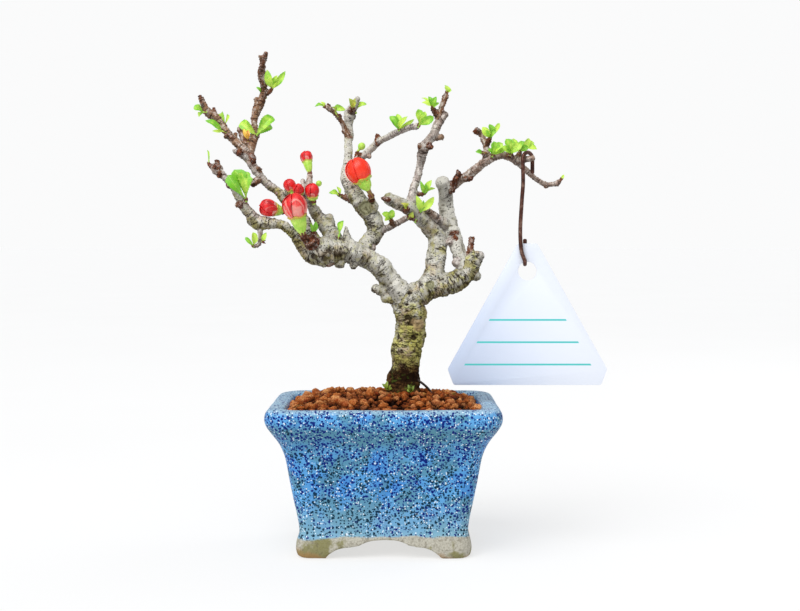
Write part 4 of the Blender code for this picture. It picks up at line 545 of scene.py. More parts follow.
@dataclass(frozen=True)
class SpeckledGlaze:
    """Blue glaze with dark and pale specks over grey clay that stays bare on the feet, painted shade under
    the lip and a painted reflection on its top.
    """

    blue: Colour = srgb(92, 160, 214)
    deep: Colour = srgb(52, 122, 204)
    # Teal: patches of the glaze, and painted shade under the lip.
    teal: Colour = srgb(86, 136, 152)
    pale: Colour = srgb(130, 174, 194)
    # The lip's top is paler: a painted reflection.
    rim: Colour = srgb(150, 182, 202)
    navy: Colour = srgb(2, 20, 112)
    slate: Colour = srgb(4, 40, 60)
    white: Colour = srgb(220, 236, 248)
    clay: Colour = srgb(186, 182, 168)
    rust: Colour = srgb(158, 122, 78)
    moss: Colour = srgb(118, 114, 58)
    grit: Colour = srgb(104, 96, 80)
    line: float = 8.5
    rim_at: float = 71.8

    @staticmethod
    def _specks(
        p: Paint, size: float, shift: Place, reach: float, least: float, crowd: Value | float
    ) -> Value:
        """A mask of uneven specks.

        Args:
            p: the paint.
            size: millimetres from one speck to the next.
            shift: moves this layer off the others.
            reach: a speck's radius as a share of the size.
            least: the random value from which a cell has a speck.
            crowd: what is added to each cell's random value.

        Returns:
            1 on the specks, 0 between them.
        """
        at = p.place(shift)
        distance, own = p.cells(size, at)
        ragged = distance + (p.noise(0.9, at, 2) - 0.5) * 0.42 + (own - 0.5) * 0.16
        return ragged.below(reach, 0.045) * (own + crowd).above(least, 0.03)

    def make(self) -> Material:
        """Builds the material."""
        p = Paint("speckled_glaze")
        height = p.place().part("Z")
        cloud = p.noise(15, detail=3)
        crowd = (p.noise(8, (0, 50, 0), 3) - 0.5) * 0.9
        # Painted shade: teal laid on the lower half of the lip's bulge, which faces down.
        under_lip_shade = (height + 16 * cloud).above(63, 7) * (height + 6 * cloud).below(67.5, 3)
        low = (height + 9 * cloud).below(28, 9)
        # The lip's top, which takes the painted reflection and fewer dark specks.
        high = (height + 2.4 * p.noise(6)).above(self.rim_at, 1.1)
        fade = 0.3 * high + 0.16 * low
        hue = p.noise(6, (9, 9, 90), 3) + 0.0035 * height
        ink = p.lay(self.slate, (self.navy, hue.above(0.62, 0.05)))
        dark = self._specks(p, 1.5, (0, 0, 0), 0.43, 0.16, crowd - fade * 1.2)
        light = crowd * 0.5 + height.above(64, 4) * 0.16
        glaze = p.lay(
            self.blue,
            (self.deep, cloud.below(0.46, 0.12) * 0.6),
            (self.teal, p.noise(12, (60, 0, 9), 3).above(0.53, 0.07) * 0.72),
            # painted shade under the lip
            (self.teal, under_lip_shade * 0.85),
            (self.pale, low * 0.55 + (height + 5 * cloud).below(15.5, 2) * 0.3),
            # painted reflection on the lip's top
            (self.rim, high * 0.85),
            (ink, dark * 0.96),
            (ink, self._specks(p, 1.0, (31, 7, 3), 0.4, 0.24, crowd - fade) * 0.92),
            (self.white, self._specks(p, 1.3, (5, 71, 13), 0.28, 0.46, light) * 0.9),
            (self.white, self._specks(p, 4.2, (15, 1, 43), 0.14, 0.5, 0) * 0.95),
        )
        left = p.place().part("X").below(-34, 14)
        stain = p.noise(8, (40, 0, 0))
        clay = p.lay(
            self.clay,
            (self.grit, p.noise(0.8, detail=5, rough=0.7).above(0.55, 0.12) * 0.5),
            (self.moss, (stain + left * 0.15 - height * 0.01).above(0.55, 0.07) * 0.8),
            (self.rust, (stain * 4 + height * 0.4 - left * 0.9).below(2.4, 0.7) * 0.75),
            (self.grit, p.noise(2.2, (7, 0, 3), 5).above(0.58, 0.04) * 0.4),
        )
        bare = (height + left * 1.4 - 4 * p.noise(10, detail=3)).below(self.line, 0.6)
        grain = p.noise(1.0, detail=3)
        wave = p.relief(p.noise(11, detail=2), 0.55)
        return p.finish(
            Base_Color=p.lay(glaze, (clay, bare)),
            Roughness=0.32 + bare * 0.55 + dark * 0.08,
            Specular_IOR_Level=0.06,
            Coat_Weight=0.08 * (1 - bare) * (1 - dark),
            Coat_Roughness=0.2,
            Normal=p.relief(grain * 0.5 - dark * 0.4 + bare * grain, 0.12, wave),
        )


@dataclass(frozen=True)
class FiredGranules:
    """Red-brown fired soil, each granule a little different, with painted shade low between its neighbours
    and painted light on its top.
    """

    # Dark for the pores, and painted shade low between the granules.
    gap: Colour = srgb(18, 4, 0)
    dark: Colour = srgb(90, 36, 12)
    middle: Colour = srgb(172, 90, 34)
    # Light: the granules' pale tone, and painted light on their tops.
    light: Colour = srgb(232, 168, 108)
    moss: Colour = srgb(116, 120, 40)
    red: Colour = srgb(140, 44, 18)

    def make(self) -> Material:
        """Builds the material."""
        p = Paint("fired_granules")
        own, rise = p.carried("tint", "Fac"), p.carried("rise", "Fac")
        grain = p.noise(0.7, detail=5, rough=0.75)
        # Higher points of a granule run towards the light colour: painted light on its top.
        mixed = own * 0.5 + grain * 1.5 + (rise - 2.8) * 0.12 - 0.56
        kiln = p.noise(4.5, (9, 30, 0), 2) + own * 0.16
        pores, _ = p.cells(0.75)
        colour = p.lay(
            p.shades(mixed, (0.12, self.dark), (0.46, self.middle), (0.86, self.light)),
            (self.red, kiln.above(0.62, 0.05) * 0.45),
            (self.moss, p.noise(5, detail=3).above(0.66, 0.04) * own.above(0.55, 0.1) * 0.5),
            (self.gap, (pores + (grain - 0.5)).below(0.2, 0.12) * 0.75),
            # Painted shade low on each granule, between its neighbours.
            (self.gap, (rise + (grain - 0.5) * 2.4).below(2.4, 1.4) * 0.98),
        )
        return p.finish(
            Base_Color=colour, Roughness=0.7, Specular_IOR_Level=0.1, Normal=p.relief(grain, 0.7)
        )


@dataclass(frozen=True)
class Crumbs:
    """What lies between the granules: the same soil in shade."""

    colour: Colour = srgb(40, 17, 8)
    lit: Colour = srgb(84, 38, 18)

    def make(self) -> Material:
        """Builds the material."""
        p = Paint("crumbs")
        grain = p.noise(1.2, detail=6, rough=0.7)
        colour = p.lay(self.colour, (self.lit, grain.above(0.55, 0.1)))
        return p.finish(Base_Color=colour, Roughness=0.95, Normal=p.relief(grain, 0.7))


@dataclass(frozen=True)
class Bark:
    """Grey bark with black specks, lichen low down, red-brown skin on what is young; painted shade under
    the limbs and in hollows, painted light on raised bark, a painted sheen on young skin.
    """

    silver: Colour = srgb(212, 209, 199)
    grey: Colour = srgb(180, 176, 162)
    tan: Colour = srgb(176, 146, 104)
    olive: Colour = srgb(150, 140, 66)
    lichen: Colour = srgb(202, 198, 106)
    crumb: Colour = srgb(222, 218, 178)
    green: Colour = srgb(92, 122, 40)
    speck: Colour = srgb(30, 27, 24)
    # Dark for cracks and rings, and painted shade in hollows and under the limbs.
    crack_and_shade: Colour = srgb(46, 32, 20)
    # The trunk's darker foot, and the lighter flecks on it.
    dark_foot: Colour = srgb(36, 20, 8)
    foot_fleck: Colour = srgb(92, 64, 34)
    young: Colour = srgb(104, 56, 38)
    half: Colour = srgb(166, 132, 104)
    mauve: Colour = srgb(194, 184, 178)
    # A painted sheen on young skin.
    painted_sheen: Colour = srgb(238, 230, 222)
    fleck: Colour = srgb(172, 108, 72)
    wood: Colour = srgb(160, 158, 126)
    heart: Colour = srgb(84, 78, 50)
    bald: Colour = srgb(176, 148, 108)
    furrow: Colour = srgb(34, 17, 11)

    def _old(self, p: Paint, grain: Value, patch: Value, lift: Value, under: Value, grime: Value) -> Value:
        """The colour of old bark.

        Args:
            p: the paint.
            grain: fine noise.
            patch: broad noise.
            lift: how far the bark is raised here, in millimetres; raised bark is painted lighter.
            under: 1 on what faces the ground, which is painted darker, with more tan and olive.
            grime: how much tan, olive and lichen lies on it.

        Returns:
            The colour.
        """
        low = p.place().part("Z").below(112, 14)
        under = under * (0.3 + grime)
        # Painted light and shade: raised bark turns silver, and what faces the ground turns darker, with
        # more tan and olive.
        tone = patch * 0.55 + grain * 0.3 + lift * 0.35 - under * 0.15 - grime * 0.3 + 0.1
        warm = p.noise(7, (17, 5, 60)) + under * 0.1 + grime * 0.13
        stain = p.noise(6, (50, 31, 2)) + under * 0.14 + grime * 0.16
        grown = p.noise(3.4, (3, 90, 8), 5) + low * 0.12 + grime * 0.06
        crumb, kind = p.cells(1.5, (8, 8, 3))
        crumbs = (crumb + (grain - 0.5) * 0.7).below(0.3, 0.08) * (kind + patch * 0.5).above(0.98, 0.05)
        return p.lay(
            self.grey,
            (self.silver, tone.above(0.42, 0.2)),
            (self.tan, warm.above(0.67, 0.06) * (0.25 + 0.4 * grime)),
            (self.olive, stain.above(0.7, 0.07) * 0.7),
            (self.lichen, grown.above(0.63, 0.07) * (0.15 + 0.6 * grime)),
            (self.crumb, crumbs * (0.2 + 0.5 * grime)),
        )

    def _fresh(self, p: Paint, way: Value, youth: Value, rings: Value) -> Value:
        """The colour of young bark, with a painted sheen in patches.

        Args:
            p: the paint.
            way: where the point lies round and along its limb.
            youth: how young the skin is.
            rings: noise drawn out round the limb.

        Returns:
            The colour.
        """
        # Painted sheen, in patches along the twig.
        painted_sheen_mask = p.noise(1.6, p.stretched(way, (1.0, 1.0, 0.4))).above(0.54, 0.07)
        tips = p.noise(1.1, (21, 6, 1), 3).above(0.58, 0.05)
        furrow = p.noise(1.7, (70, 2, 9), 5, 0.65).below(0.43, 0.04)
        return p.lay(
            p.shades(youth, (0.34, self.mauve), (0.62, self.half), (0.88, self.young)),
            (self.painted_sheen, painted_sheen_mask * (0.9 - youth * 0.55)),
            (self.young, p.noise(2.6, (4, 4, 44)).above(0.57, 0.05) * (0.2 + youth * 0.6)),
            (self.fleck, tips * youth.above(0.78, 0.08) * 0.6),
            (self.furrow, furrow * (0.25 + youth * 0.45)),
            (self.furrow, rings.below(0.42, 0.04) * 0.8),
        )

    def make(self) -> Material:
        """Builds the material."""
        p = Paint("bark_skin")
        height, way = p.place().part("Z"), p.carried()
        youth, lift, under, cut, grime = (
            p.carried(name, "Fac") for name in ("youth", "lift", "under", "cut", "grime")
        )
        grain = p.noise(0.8, detail=5, rough=0.7)
        patch = p.noise(5.5)
        rings = p.noise(1.0, p.stretched(way, (0.16, 0.16, 1.0)), rough=0.65)
        split = (p.noise(2.2, p.stretched(way, (0.24, 0.24, 1.0)), rough=0.6) - 0.5).size()
        cracks = split.below(0.02, 0.014) * (patch + under * 0.14 + grime * 0.22).above(0.66, 0.07)

        def specks(size: float, at: Value | Place, reach: float, soft: float, least: float) -> Value:
            """A mask of ragged specks that crowd where the bark is patchy."""
            distance, kind = p.cells(size, at)
            ragged = (distance + (grain - 0.5) * 0.36).below(reach, soft)
            return ragged * (kind + patch * 0.7).above(least, 0.04)

        spots = specks(1.3, (0, 0, 0), 0.24, 0.06, 0.86)
        old = p.lay(
            self._old(p, grain, patch, lift, under, grime),
            (self.speck, spots * 0.88),
            (self.speck, specks(0.85, (3, 1, 7), 0.27, 0.07, 0.62) * (0.5 + 0.45 * grime)),
            (self.speck, specks(0.9, p.stretched(way, (0.42, 0.42, 1.0)), 0.22, 0.06, 1.0) * 0.7),
            (self.crack_and_shade, rings.below(0.38, 0.04) * (0.1 + 0.5 * grime)),
            (self.crack_and_shade, cracks * 0.92),
        )
        # Darker towards the foot of the trunk, with lighter flecks that favour raised bark as painted
        # light.
        dark_foot = p.lay(self.dark_foot, (self.foot_fleck, (grain + lift * 0.4).above(0.6, 0.1) * 0.8))
        rays = (cut * 20 + patch * 7 + grain * 3).wave().above(0.3, 0.6)
        foot = p.noise(3, detail=3).above(0.6, 0.04) * height.below(84, 6)
        colour = p.lay(
            old,
            (self._fresh(p, way, youth, rings), (youth + (patch - 0.5) * 0.55).above(0.27, 0.1)),
            # Painted shade in the bark's hollows, and under the limbs.
            (self.crack_and_shade, (lift + (grain - 0.5) * 0.6).below(-0.32, 0.14) * (0.55 + 0.4 * grime)),
            (self.crack_and_shade, (under + patch - 0.5).above(0.66, 0.3) * 0.42),
            (dark_foot, (height + (patch + grain - 1) * 16).below(91, 4)),
            (self.green, foot * 0.4),
            (p.lay(self.wood, (self.heart, rays * 0.55)), cut.above(0.04, 0.03) * cut.below(0.8, 0.1)),
            (self.bald, (cut + (grain - 0.5) * 0.4).below(-0.3, 0.2) * 0.8),
        )
        skin = p.relief(grain - spots * 0.4, 0.26, p.relief(rings - cracks * 0.8, 0.5))
        rough = 0.9 - youth * 0.25
        return p.finish(Base_Color=colour, Roughness=rough, Specular_IOR_Level=0.08, Normal=skin)


@dataclass(frozen=True)
class LeafSkin:
    """A young leaf: bright, satin, with a pale rib and side veins."""

    name: str = "leaf_skin"
    deep: Colour = srgb(116, 186, 34)
    light: Colour = srgb(202, 236, 88)
    rib: Colour = srgb(208, 236, 132)
    edge: Colour = srgb(122, 150, 48)
    foot: Colour = srgb(170, 200, 90)

    def make(self) -> Material:
        """Builds the material."""
        p = Paint(self.name)
        way = p.carried()
        side, along, own = way.part("X").size(), way.part("Y"), way.part("Z")
        cloud = p.noise(2.6, detail=3)
        tone = (cloud * 0.9 + own * 0.5 - along * 0.15 - side * 0.15 + 0.03).above(0.56, 0.24)
        vein = ((along * 5.5 - side * 1.3) * (2 * pi)).wave().above(0.8, 0.18)
        lines = (vein * 0.22 + side.below(0.06, 0.05)).above(0.5, 0.5)
        colour = p.lay(
            self.deep,
            (self.light, tone),
            (self.rib, lines * 0.38),
            (self.edge, side.above(0.95, 0.05) * 0.35),
            (self.foot, along.below(0.12, 0.1) * 0.6),
        )
        return p.finish(
            Base_Color=colour, Roughness=0.42 + cloud * 0.12,
            Normal=p.relief(lines * -0.6 + cloud * 0.5, 0.14),
            Subsurface_Weight=0.12, Subsurface_Radius=(0.4, 1.0, 0.2), Subsurface_Scale=0.0008,
        )


@dataclass(frozen=True)
class BudScale:
    """The brown scales round the foot of a shoot."""

    dark: Colour = srgb(70, 34, 24)
    middle: Colour = srgb(124, 66, 44)
    pale: Colour = srgb(170, 110, 70)

    def make(self) -> Material:
        """Builds the material."""
        p = Paint("bud_scale")
        grain = p.noise(0.6)
        colour = p.shades(grain, (0.3, self.dark), (0.6, self.middle), (0.8, self.pale))
        return p.finish(Base_Color=colour, Roughness=0.6, Normal=p.relief(grain, 0.15))


@dataclass(frozen=True)
class PetalSkin:
    """Closed petals: scarlet, paler towards the calyx and in bands, with fine lines along them and painted
    shade along their edges.
    """

    name: str
    red: Colour = srgb(232, 28, 32)
    # Deep red: the petals' own darker colour, and painted shade along their edges.
    deep: Colour = srgb(158, 8, 20)
    blush: Colour = srgb(246, 172, 164)
    blush_to: float = 0.3
    bands: float = 0.5

    def make(self) -> Material:
        """Builds the material."""
        p = Paint(self.name)
        way = p.carried()
        side, along = way.part("X"), way.part("Y")
        cloud = p.noise(2.4)
        threads = p.noise(1.0, p.stretched(way, (9.0, 1.2, 5.0)), 3)
        arc = side * side * 0.5 + along
        band = (arc * 17 + cloud * 3).wave().above(0.72, 0.12) * arc.below(self.blush_to + 0.3, 0.1)
        colour = p.lay(
            self.deep,
            (self.red, (cloud * 0.6 + threads * 0.5).above(0.5, 0.12)),
            (self.blush, (arc + (cloud - 0.5) * 0.5).below(self.blush_to, 0.1) * 0.8),
            (self.blush, band * self.bands),
            # Painted shade along each petal's edges, where the petals lap.
            (self.deep, side.above(0.92, 0.07) * 0.28),
        )
        return p.finish(
            Base_Color=colour, Roughness=0.28 + cloud * 0.14,
            Normal=p.relief(threads * 0.5 + cloud * 0.5, 0.2),
            Subsurface_Weight=0.1, Subsurface_Radius=(1.0, 0.25, 0.2), Subsurface_Scale=0.001,
        )


@dataclass(frozen=True)
class SepalSkin:
    """Calyx and green buds: light green, yellower low down, with a red breath at the rim."""

    green: Colour = srgb(148, 206, 54)
    yellow: Colour = srgb(204, 232, 104)
    red: Colour = srgb(206, 92, 50)
    stalk: Colour = srgb(96, 44, 34)
    stalk_light: Colour = srgb(150, 96, 62)

    def make(self) -> Material:
        """Builds the material."""
        p = Paint("sepal_skin")
        way = p.carried()
        along = way.part("Y")
        cloud = p.noise(2.2, detail=3)
        threads = p.noise(1.0, p.stretched(way, (10.0, 1.5, 1.0)), 2)
        stalk = p.lay(self.stalk, (self.stalk_light, threads.above(0.5, 0.1)))
        colour = p.lay(
            self.green,
            (self.yellow, (cloud * 0.6 + threads * 0.5).above(0.55, 0.2)),
            (self.red, (along + (cloud - 0.5) * 0.3).above(0.95, 0.07) * 0.5),
            (stalk, (along + (cloud - 0.5) * 0.1).below(way.part("Z"), 0.03) * 0.9),
        )
        return p.finish(
            Base_Color=colour, Roughness=0.4 + cloud * 0.1, Normal=p.relief(threads, 0.12),
            Subsurface_Weight=0.12, Subsurface_Radius=(0.5, 1.0, 0.3), Subsurface_Scale=0.001,
        )


@dataclass(frozen=True)
class BrownWire:
    """Copper-coloured wire gone brown, brighter where it is rubbed."""

    name: str = "brown_wire_skin"
    dark: Colour = srgb(50, 28, 24)
    middle: Colour = srgb(96, 62, 52)
    rubbed: Colour = srgb(160, 132, 118)

    def make(self) -> Material:
        """Builds the material."""
        p = Paint(self.name)
        cloud, rub = p.noise(3, detail=5), p.noise(0.7, detail=3)
        return p.finish(
            Base_Color=p.shades(cloud, (0.3, self.dark), (0.55, self.middle), (0.75, self.rubbed)),
            Metallic=0.65 + cloud * 0.3, Roughness=0.24 + rub * 0.25, Normal=p.relief(rub, 0.05),
        )


@dataclass(frozen=True)
class LabelSheet:
    """White sheet for writing on, with thin ruled lines and painted shade that turns it lavender towards
    the lower left.
    """

    white: Colour = srgb(229, 234, 245)
    # Painted shade on the white sheet.
    lavender_shade: Colour = srgb(190, 203, 227)
    line: Colour = srgb(70, 196, 194)
    lines: tuple[float, ...] = (90.5, 101.5, 112.5)
    line_width: float = 0.45
    # Half of the sheet's width at its lower corner, how high that is, and how the sides close in.
    half_width: float = 39.4
    corner_up: float = 88.2
    slope: float = 0.552
    middle: float = 63
    margin: float = 7
    front: float = -8.3

    def make(self) -> Material:
        """Builds the material."""
        p = Paint("label_sheet")
        place = p.place()
        across, height = place.part("X"), place.part("Z")
        out = (across - self.middle).size() + (height - self.corner_up) * self.slope
        drawn = sum((height - line).size().below(self.line_width, 0.08) for line in self.lines)
        inside = out.below(self.half_width - self.margin, 0.1)
        drawn = drawn * inside * place.part("Y").below(self.front, 0.1)
        haze = p.noise(26, detail=2)
        # Painted light and shade across the sheet: white to the upper right, lavender to the lower left.
        shade = across * 0.0125 + height * 0.005 + haze * 0.2
        scuffs = p.noise(1.0, p.place(stretch=(0.2, 1, 2.4))).above(0.68, 0.03)
        return p.finish(
            Base_Color=p.lay(self.lavender_shade, (self.white, shade.above(1.25, 0.5)), (self.line, drawn)),
            Roughness=0.3 + haze * 0.1 + scuffs * 0.15,
            Normal=p.relief(p.noise(9, detail=2), 0.12), Coat_Weight=0.2, Coat_Roughness=0.2,
        )


@dataclass(frozen=True)
class DrainPlastic:
    """Black moulded mesh, dusty from the soil."""

    black: Colour = srgb(26, 26, 28)
    dusty: Colour = srgb(92, 58, 40)

    def make(self) -> Material:
        """Builds the material."""
        p = Paint("drain_plastic")
        dust = p.noise(2.2)
        colour = p.lay(self.black, (self.dusty, dust.above(0.56, 0.1) * 0.5))
        return p.finish(Base_Color=colour, Roughness=0.5 + dust * 0.3, Normal=p.relief(dust, 0.1))


@dataclass(frozen=True)
class StudioFloor:
    """The plain pale ground."""

    low: float = 0.3
    high: float = 0.32
    glow: float = 0.625

    def make(self) -> Material:
        """Builds the material."""
        p = Paint("studio_floor")
        return p.finish(
            Base_Color=p.lay((self.low,) * 3, ((self.high,) * 3, p.noise(240, detail=1))), Roughness=0.9,
            Specular_IOR_Level=0.1, Emission_Color=(1.0, 1.0, 1.0), Emission_Strength=self.glow,
        )


class Shell:
    """Points, faces and what the points carry, gathered for one piece."""

    def __init__(self) -> None:
        """Starts empty."""
        self.points: list[Vector] = []
        self.ways: list[Place] = []
        self.faces: list[tuple[int, ...]] = []
        self.slots: list[int] = []

    def loft(
        self,
        rings: Sequence[Sequence[Vector]],
        ways: Sequence[Sequence[Place]] | None = None,
        slot: int = 0,
    ) -> None:
        """Adds a skin through rings of one count, with both ends capped.

        Args:
            rings: the rings' points, in metres.
            ways: what each point carries for its material.
            slot: the material that the faces take.
        """
        first, count = len(self.points), len(rings[0])
        for ring, carried in zip(rings, ways or [[(0, 0, 0)] * count] * len(rings)):
            self.points.extend(ring)
            self.ways.extend(carried)
        last = first + (len(rings) - 1) * count
        made = []
        for low in range(first, last, count):
            for k in range(count):
                j = (k + 1) % count
                made.append((low + k, low + j, low + count + j, low + count + k))
        made.append(tuple(range(first + count - 1, first - 1, -1)))
        made.append(tuple(range(last, last + count)))
        self.faces.extend(made)
        self.slots.extend([slot] * len(made))

    def mesh(self, name: str) -> Mesh:
        """Turns what was gathered into mesh data.

        Args:
            name: the mesh's name.

        Returns:
            The mesh, with its faces pointing outwards.
        """
        data = bpy.data.meshes.new(name)
        data.from_pydata(self.points, [], self.faces)
        data.polygons.foreach_set("material_index", self.slots)
        carry(data, WAY, np.array(self.ways, np.float32))
        work = bmesh.new()
        work.from_mesh(data)
        bmesh.ops.recalc_face_normals(work, faces=work.faces)
        work.to_mesh(data)
        work.free()
        return data


def carry(data: Mesh, name: str, values: np.ndarray) -> None:
    """Stores one number or one vector for each point.

    Args:
        data: the mesh.
        name: the attribute's name.
        values: one row for each point.
    """
    is_vector = values.ndim == 2
    kind = "FLOAT_VECTOR" if is_vector else "FLOAT"
    attribute = data.attributes.get(name) or data.attributes.new(name, kind, "POINT")
    attribute.data.foreach_set("vector" if is_vector else "value", values.astype(np.float32).ravel())


def show(name: str, data: Mesh, *finishes: Material, sharp: float = 50) -> Object:
    """Puts a mesh into the scene, shaded smooth below an angle.

    Args:
        name: the piece's name.
        data: its mesh.
        finishes: the materials, in the order of the faces' slots.
        sharp: the angle in degrees from which an edge stays sharp.

    Returns:
        The object, at the origin.
    """
    if data.materials:
        data.materials.clear()
    for finish in finishes:
        data.materials.append(finish)
    data.shade_smooth()
    data.set_sharp_from_angle(angle=radians(sharp))
    piece = bpy.data.objects.new(name, data)
    bpy.context.scene.collection.objects.link(piece)
    return piece


def solid(name: str, rings: Sequence[Sequence[Vector]]) -> Object:
    """Puts a closed object through rings of points into the scene."""
    shell = Shell()
    shell.loft(rings)
    return show(name, shell.mesh(name))


def evaluated(piece: Object) -> Mesh:
    """The piece's plain mesh as its modifiers leave it; the piece is then removed."""
    graph = bpy.context.evaluated_depsgraph_get()
    data = bpy.data.meshes.new_from_object(piece.evaluated_get(graph))
    bpy.data.objects.remove(piece)
    return data


def settle(piece: Object, slot: str, *nodes: str) -> Object:
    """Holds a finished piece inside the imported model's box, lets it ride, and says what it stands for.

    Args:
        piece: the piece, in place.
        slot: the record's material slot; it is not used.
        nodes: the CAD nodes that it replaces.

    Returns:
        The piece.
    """
    low, high = (np.array(corner) for corner in CAD_BOX)
    move(piece.data, arrays(piece.data)[0].clip(low, high))
    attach(piece, BODY)
    if nodes:
        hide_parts(*nodes)
    LOG.info("%s: %d faces, for %s", piece.name, len(piece.data.polygons), ", ".join(nodes) or "no node")
    return piece


def relax(data: Mesh, rounds: int, pull: float = 0.5, push: float = -0.52) -> None:
    """Smooths a mesh without shrinking it, by a pull and a smaller push back.

    Args:
        data: the mesh, which is changed.
        rounds: how many times.
        pull: how far each point moves towards its neighbours.
        push: how far it then moves away again.
    """
    points, _ = arrays(data)
    count = len(points)
    edges = np.empty(len(data.edges) * 2, np.int32)
    data.edges.foreach_get("vertices", edges)
    ends = edges.reshape(-1, 2)
    valence = np.bincount(edges, minlength=count)[:, None]
    for _ in range(rounds):
        for step in (pull, push):
            total = np.zeros_like(points)
            for axis in range(3):
                total[:, axis] = np.bincount(ends[:, 0], points[ends[:, 1], axis], count)
                total[:, axis] += np.bincount(ends[:, 1], points[ends[:, 0], axis], count)
            points += step * (total / valence - points)
    move(data, points)


def remeshed(data: Mesh, size: float) -> Mesh:
    """Joins everything in a mesh into one even skin.

    Args:
        data: closed shells that may overlap.
        size: the new faces' width in millimetres.

    Returns:
        The new mesh.
    """
    work = bpy.data.objects.new("work", data)
    bpy.context.scene.collection.objects.link(work)
    modifier = work.modifiers.new("even", "REMESH")
    modifier.mode = "VOXEL"
    modifier.voxel_size = size * MM
    return evaluated(work)


def arrays(data: Mesh) -> tuple[np.ndarray, np.ndarray]:
    """The points and their normals.

    Args:
        data: the mesh.

    Returns:
        Two arrays with a row for each point.
    """
    rows = []
    for source, field in ((data.vertices, "co"), (data.vertex_normals, "vector")):
        flat = np.empty(len(source) * 3, np.float32)
        source.foreach_get(field, flat)
        rows.append(flat.reshape(-1, 3).astype(float))
    return rows[0], rows[1]


def move(data: Mesh, points: np.ndarray) -> None:
    """Puts a mesh's points in new places."""
    data.vertices.foreach_set("co", points.astype(np.float32).ravel())
    data.update()


def turns(count: int) -> list[float]:
    """Even turns round a circle, in radians."""
    return [2 * pi * k / count for k in range(count)]


def outward(side: Vector, other: Vector, turn: float) -> Vector:
    """The direction at a turn, in the plane of two cross directions."""
    return side * cos(turn) + other * sin(turn)


def smooth_route(points: Sequence[Sequence[float]], spacing: float) -> list[tuple[Vector, float]]:
    """A smooth curve through points.

    Args:
        points: (x, y, z, radius) in metres.
        spacing: the distance between the curve's points, in millimetres.

    Returns:
        (position, radius) along the curve.
    """
    padded = [points[0], *points, points[-1]]
    route = []
    for a, b, c, d in zip(padded, padded[1:], padded[2:], padded[3:]):
        length = (Vector(c[:3]) - Vector(b[:3])).length
        steps = max(1, round(length / (spacing * MM)))
        for step in range(steps):
            t = step / steps
            route.append([
                0.5 * (2 * q + (r - p) * t + (2 * p - 5 * q + 4 * r - s) * t**2
                       + (3 * q - p - 3 * r + s) * t**3)
                for p, q, r, s in zip(a, b, c, d)
            ])
    route.append(list(points[-1]))
    return [(Vector(p[:3]), p[3]) for p in route]


@dataclass
class Tube:
    """A round tube along a route, with a dome at each end."""

    route: list[tuple[Vector, float]]
    sides: int = 12
    dome: float = 0.5

    def sections(self) -> list[tuple[Vector, float, Vector, Vector, Vector]]:
        """Centre, radius, direction and the two cross directions at each point of the route."""
        last = len(self.route) - 1
        made = []
        side = None
        for i, (centre, radius) in enumerate(self.route):
            along = (self.route[min(i + 1, last)][0] - self.route[max(i - 1, 0)][0]).normalized()
            side = side or along.orthogonal()
            side = (side - along * side.dot(along)).normalized()
            made.append((centre, radius, along, side, along.cross(side)))
        return made

    def into(self, shell: Shell, slot: int = 0, length_way: float = 1.0) -> None:
        """Adds the tube to a shell.

        Args:
            shell: what it is added to.
            slot: the material of its faces.
            length_way: what the carried Y reaches at the tube's end.
        """
        rings, ways = [], []
        sections = self.sections()
        last, round_about = len(sections) - 1, turns(self.sides)
        steps = [(0, -self.dome, 0.55), *((i, 0, 1) for i in range(last + 1)), (last, self.dome, 0.55)]
        for i, out, share in steps:
            centre, radius, along, side, other = sections[i]
            middle = centre + along * (out * radius)
            rings.append([middle + outward(side, other, t) * radius * share for t in round_about])
            ways.append([(cos(t), length_way * i / last, sin(t)) for t in round_about])
        shell.loft(rings, ways, slot)


# The radii in millimetres of a dormant bud, and of the scales at the foot of a shoot and of a calyx.
DORMANT, SHOOT_SCALE, CALYX_SCALE = (0.95, 0.85, 0.4), (0.5, 0.46, 0.14), (0.6, 0.55, 0.18)
SPUR_SCALE = (0.46, 0.36, 0.14)  # the same for a scale on a spur, as shares of the spur's radius


def spike(
    shell: Shell, foot: Vector, tip: Vector, radii: Place, slot: int = 1, sides: int = 6,
    share: float = 0.5, spacing: float = 0.6,
) -> None:
    """Adds a small tapered tube, such as a bud's scale, to a shell.

    Args:
        shell: what it is added to.
        foot, tip: its ends.
        radii: its radius in millimetres at the foot, in between and at the tip.
        slot: the material of its faces.
        sides: how many it has.
        share: where its middle lies between its ends.
        spacing: millimetres between its rings.
    """
    places = (foot, foot.lerp(tip, share), tip)
    points = [(*place, radius * MM) for place, radius in zip(places, radii)]
    Tube(smooth_route(points, spacing), sides).into(shell, slot)


def wire(name: str, route: Sequence[Vector], radius: float, sides: int, length_way: float) -> Mesh:
    """The mesh of a bent wire.

    Args:
        name: the mesh's name.
        route: its points, in metres.
        radius: its radius in millimetres.
        sides: how many it has.
        length_way: what the carried Y reaches at its end.

    Returns:
        The mesh.
    """
    shell = Shell()
    curve = smooth_route([(*point, radius * MM) for point in route], 0.7 if radius > 0.8 else 0.9)
    Tube(curve, sides).into(shell, 0, length_way)
    return shell.mesh(name)


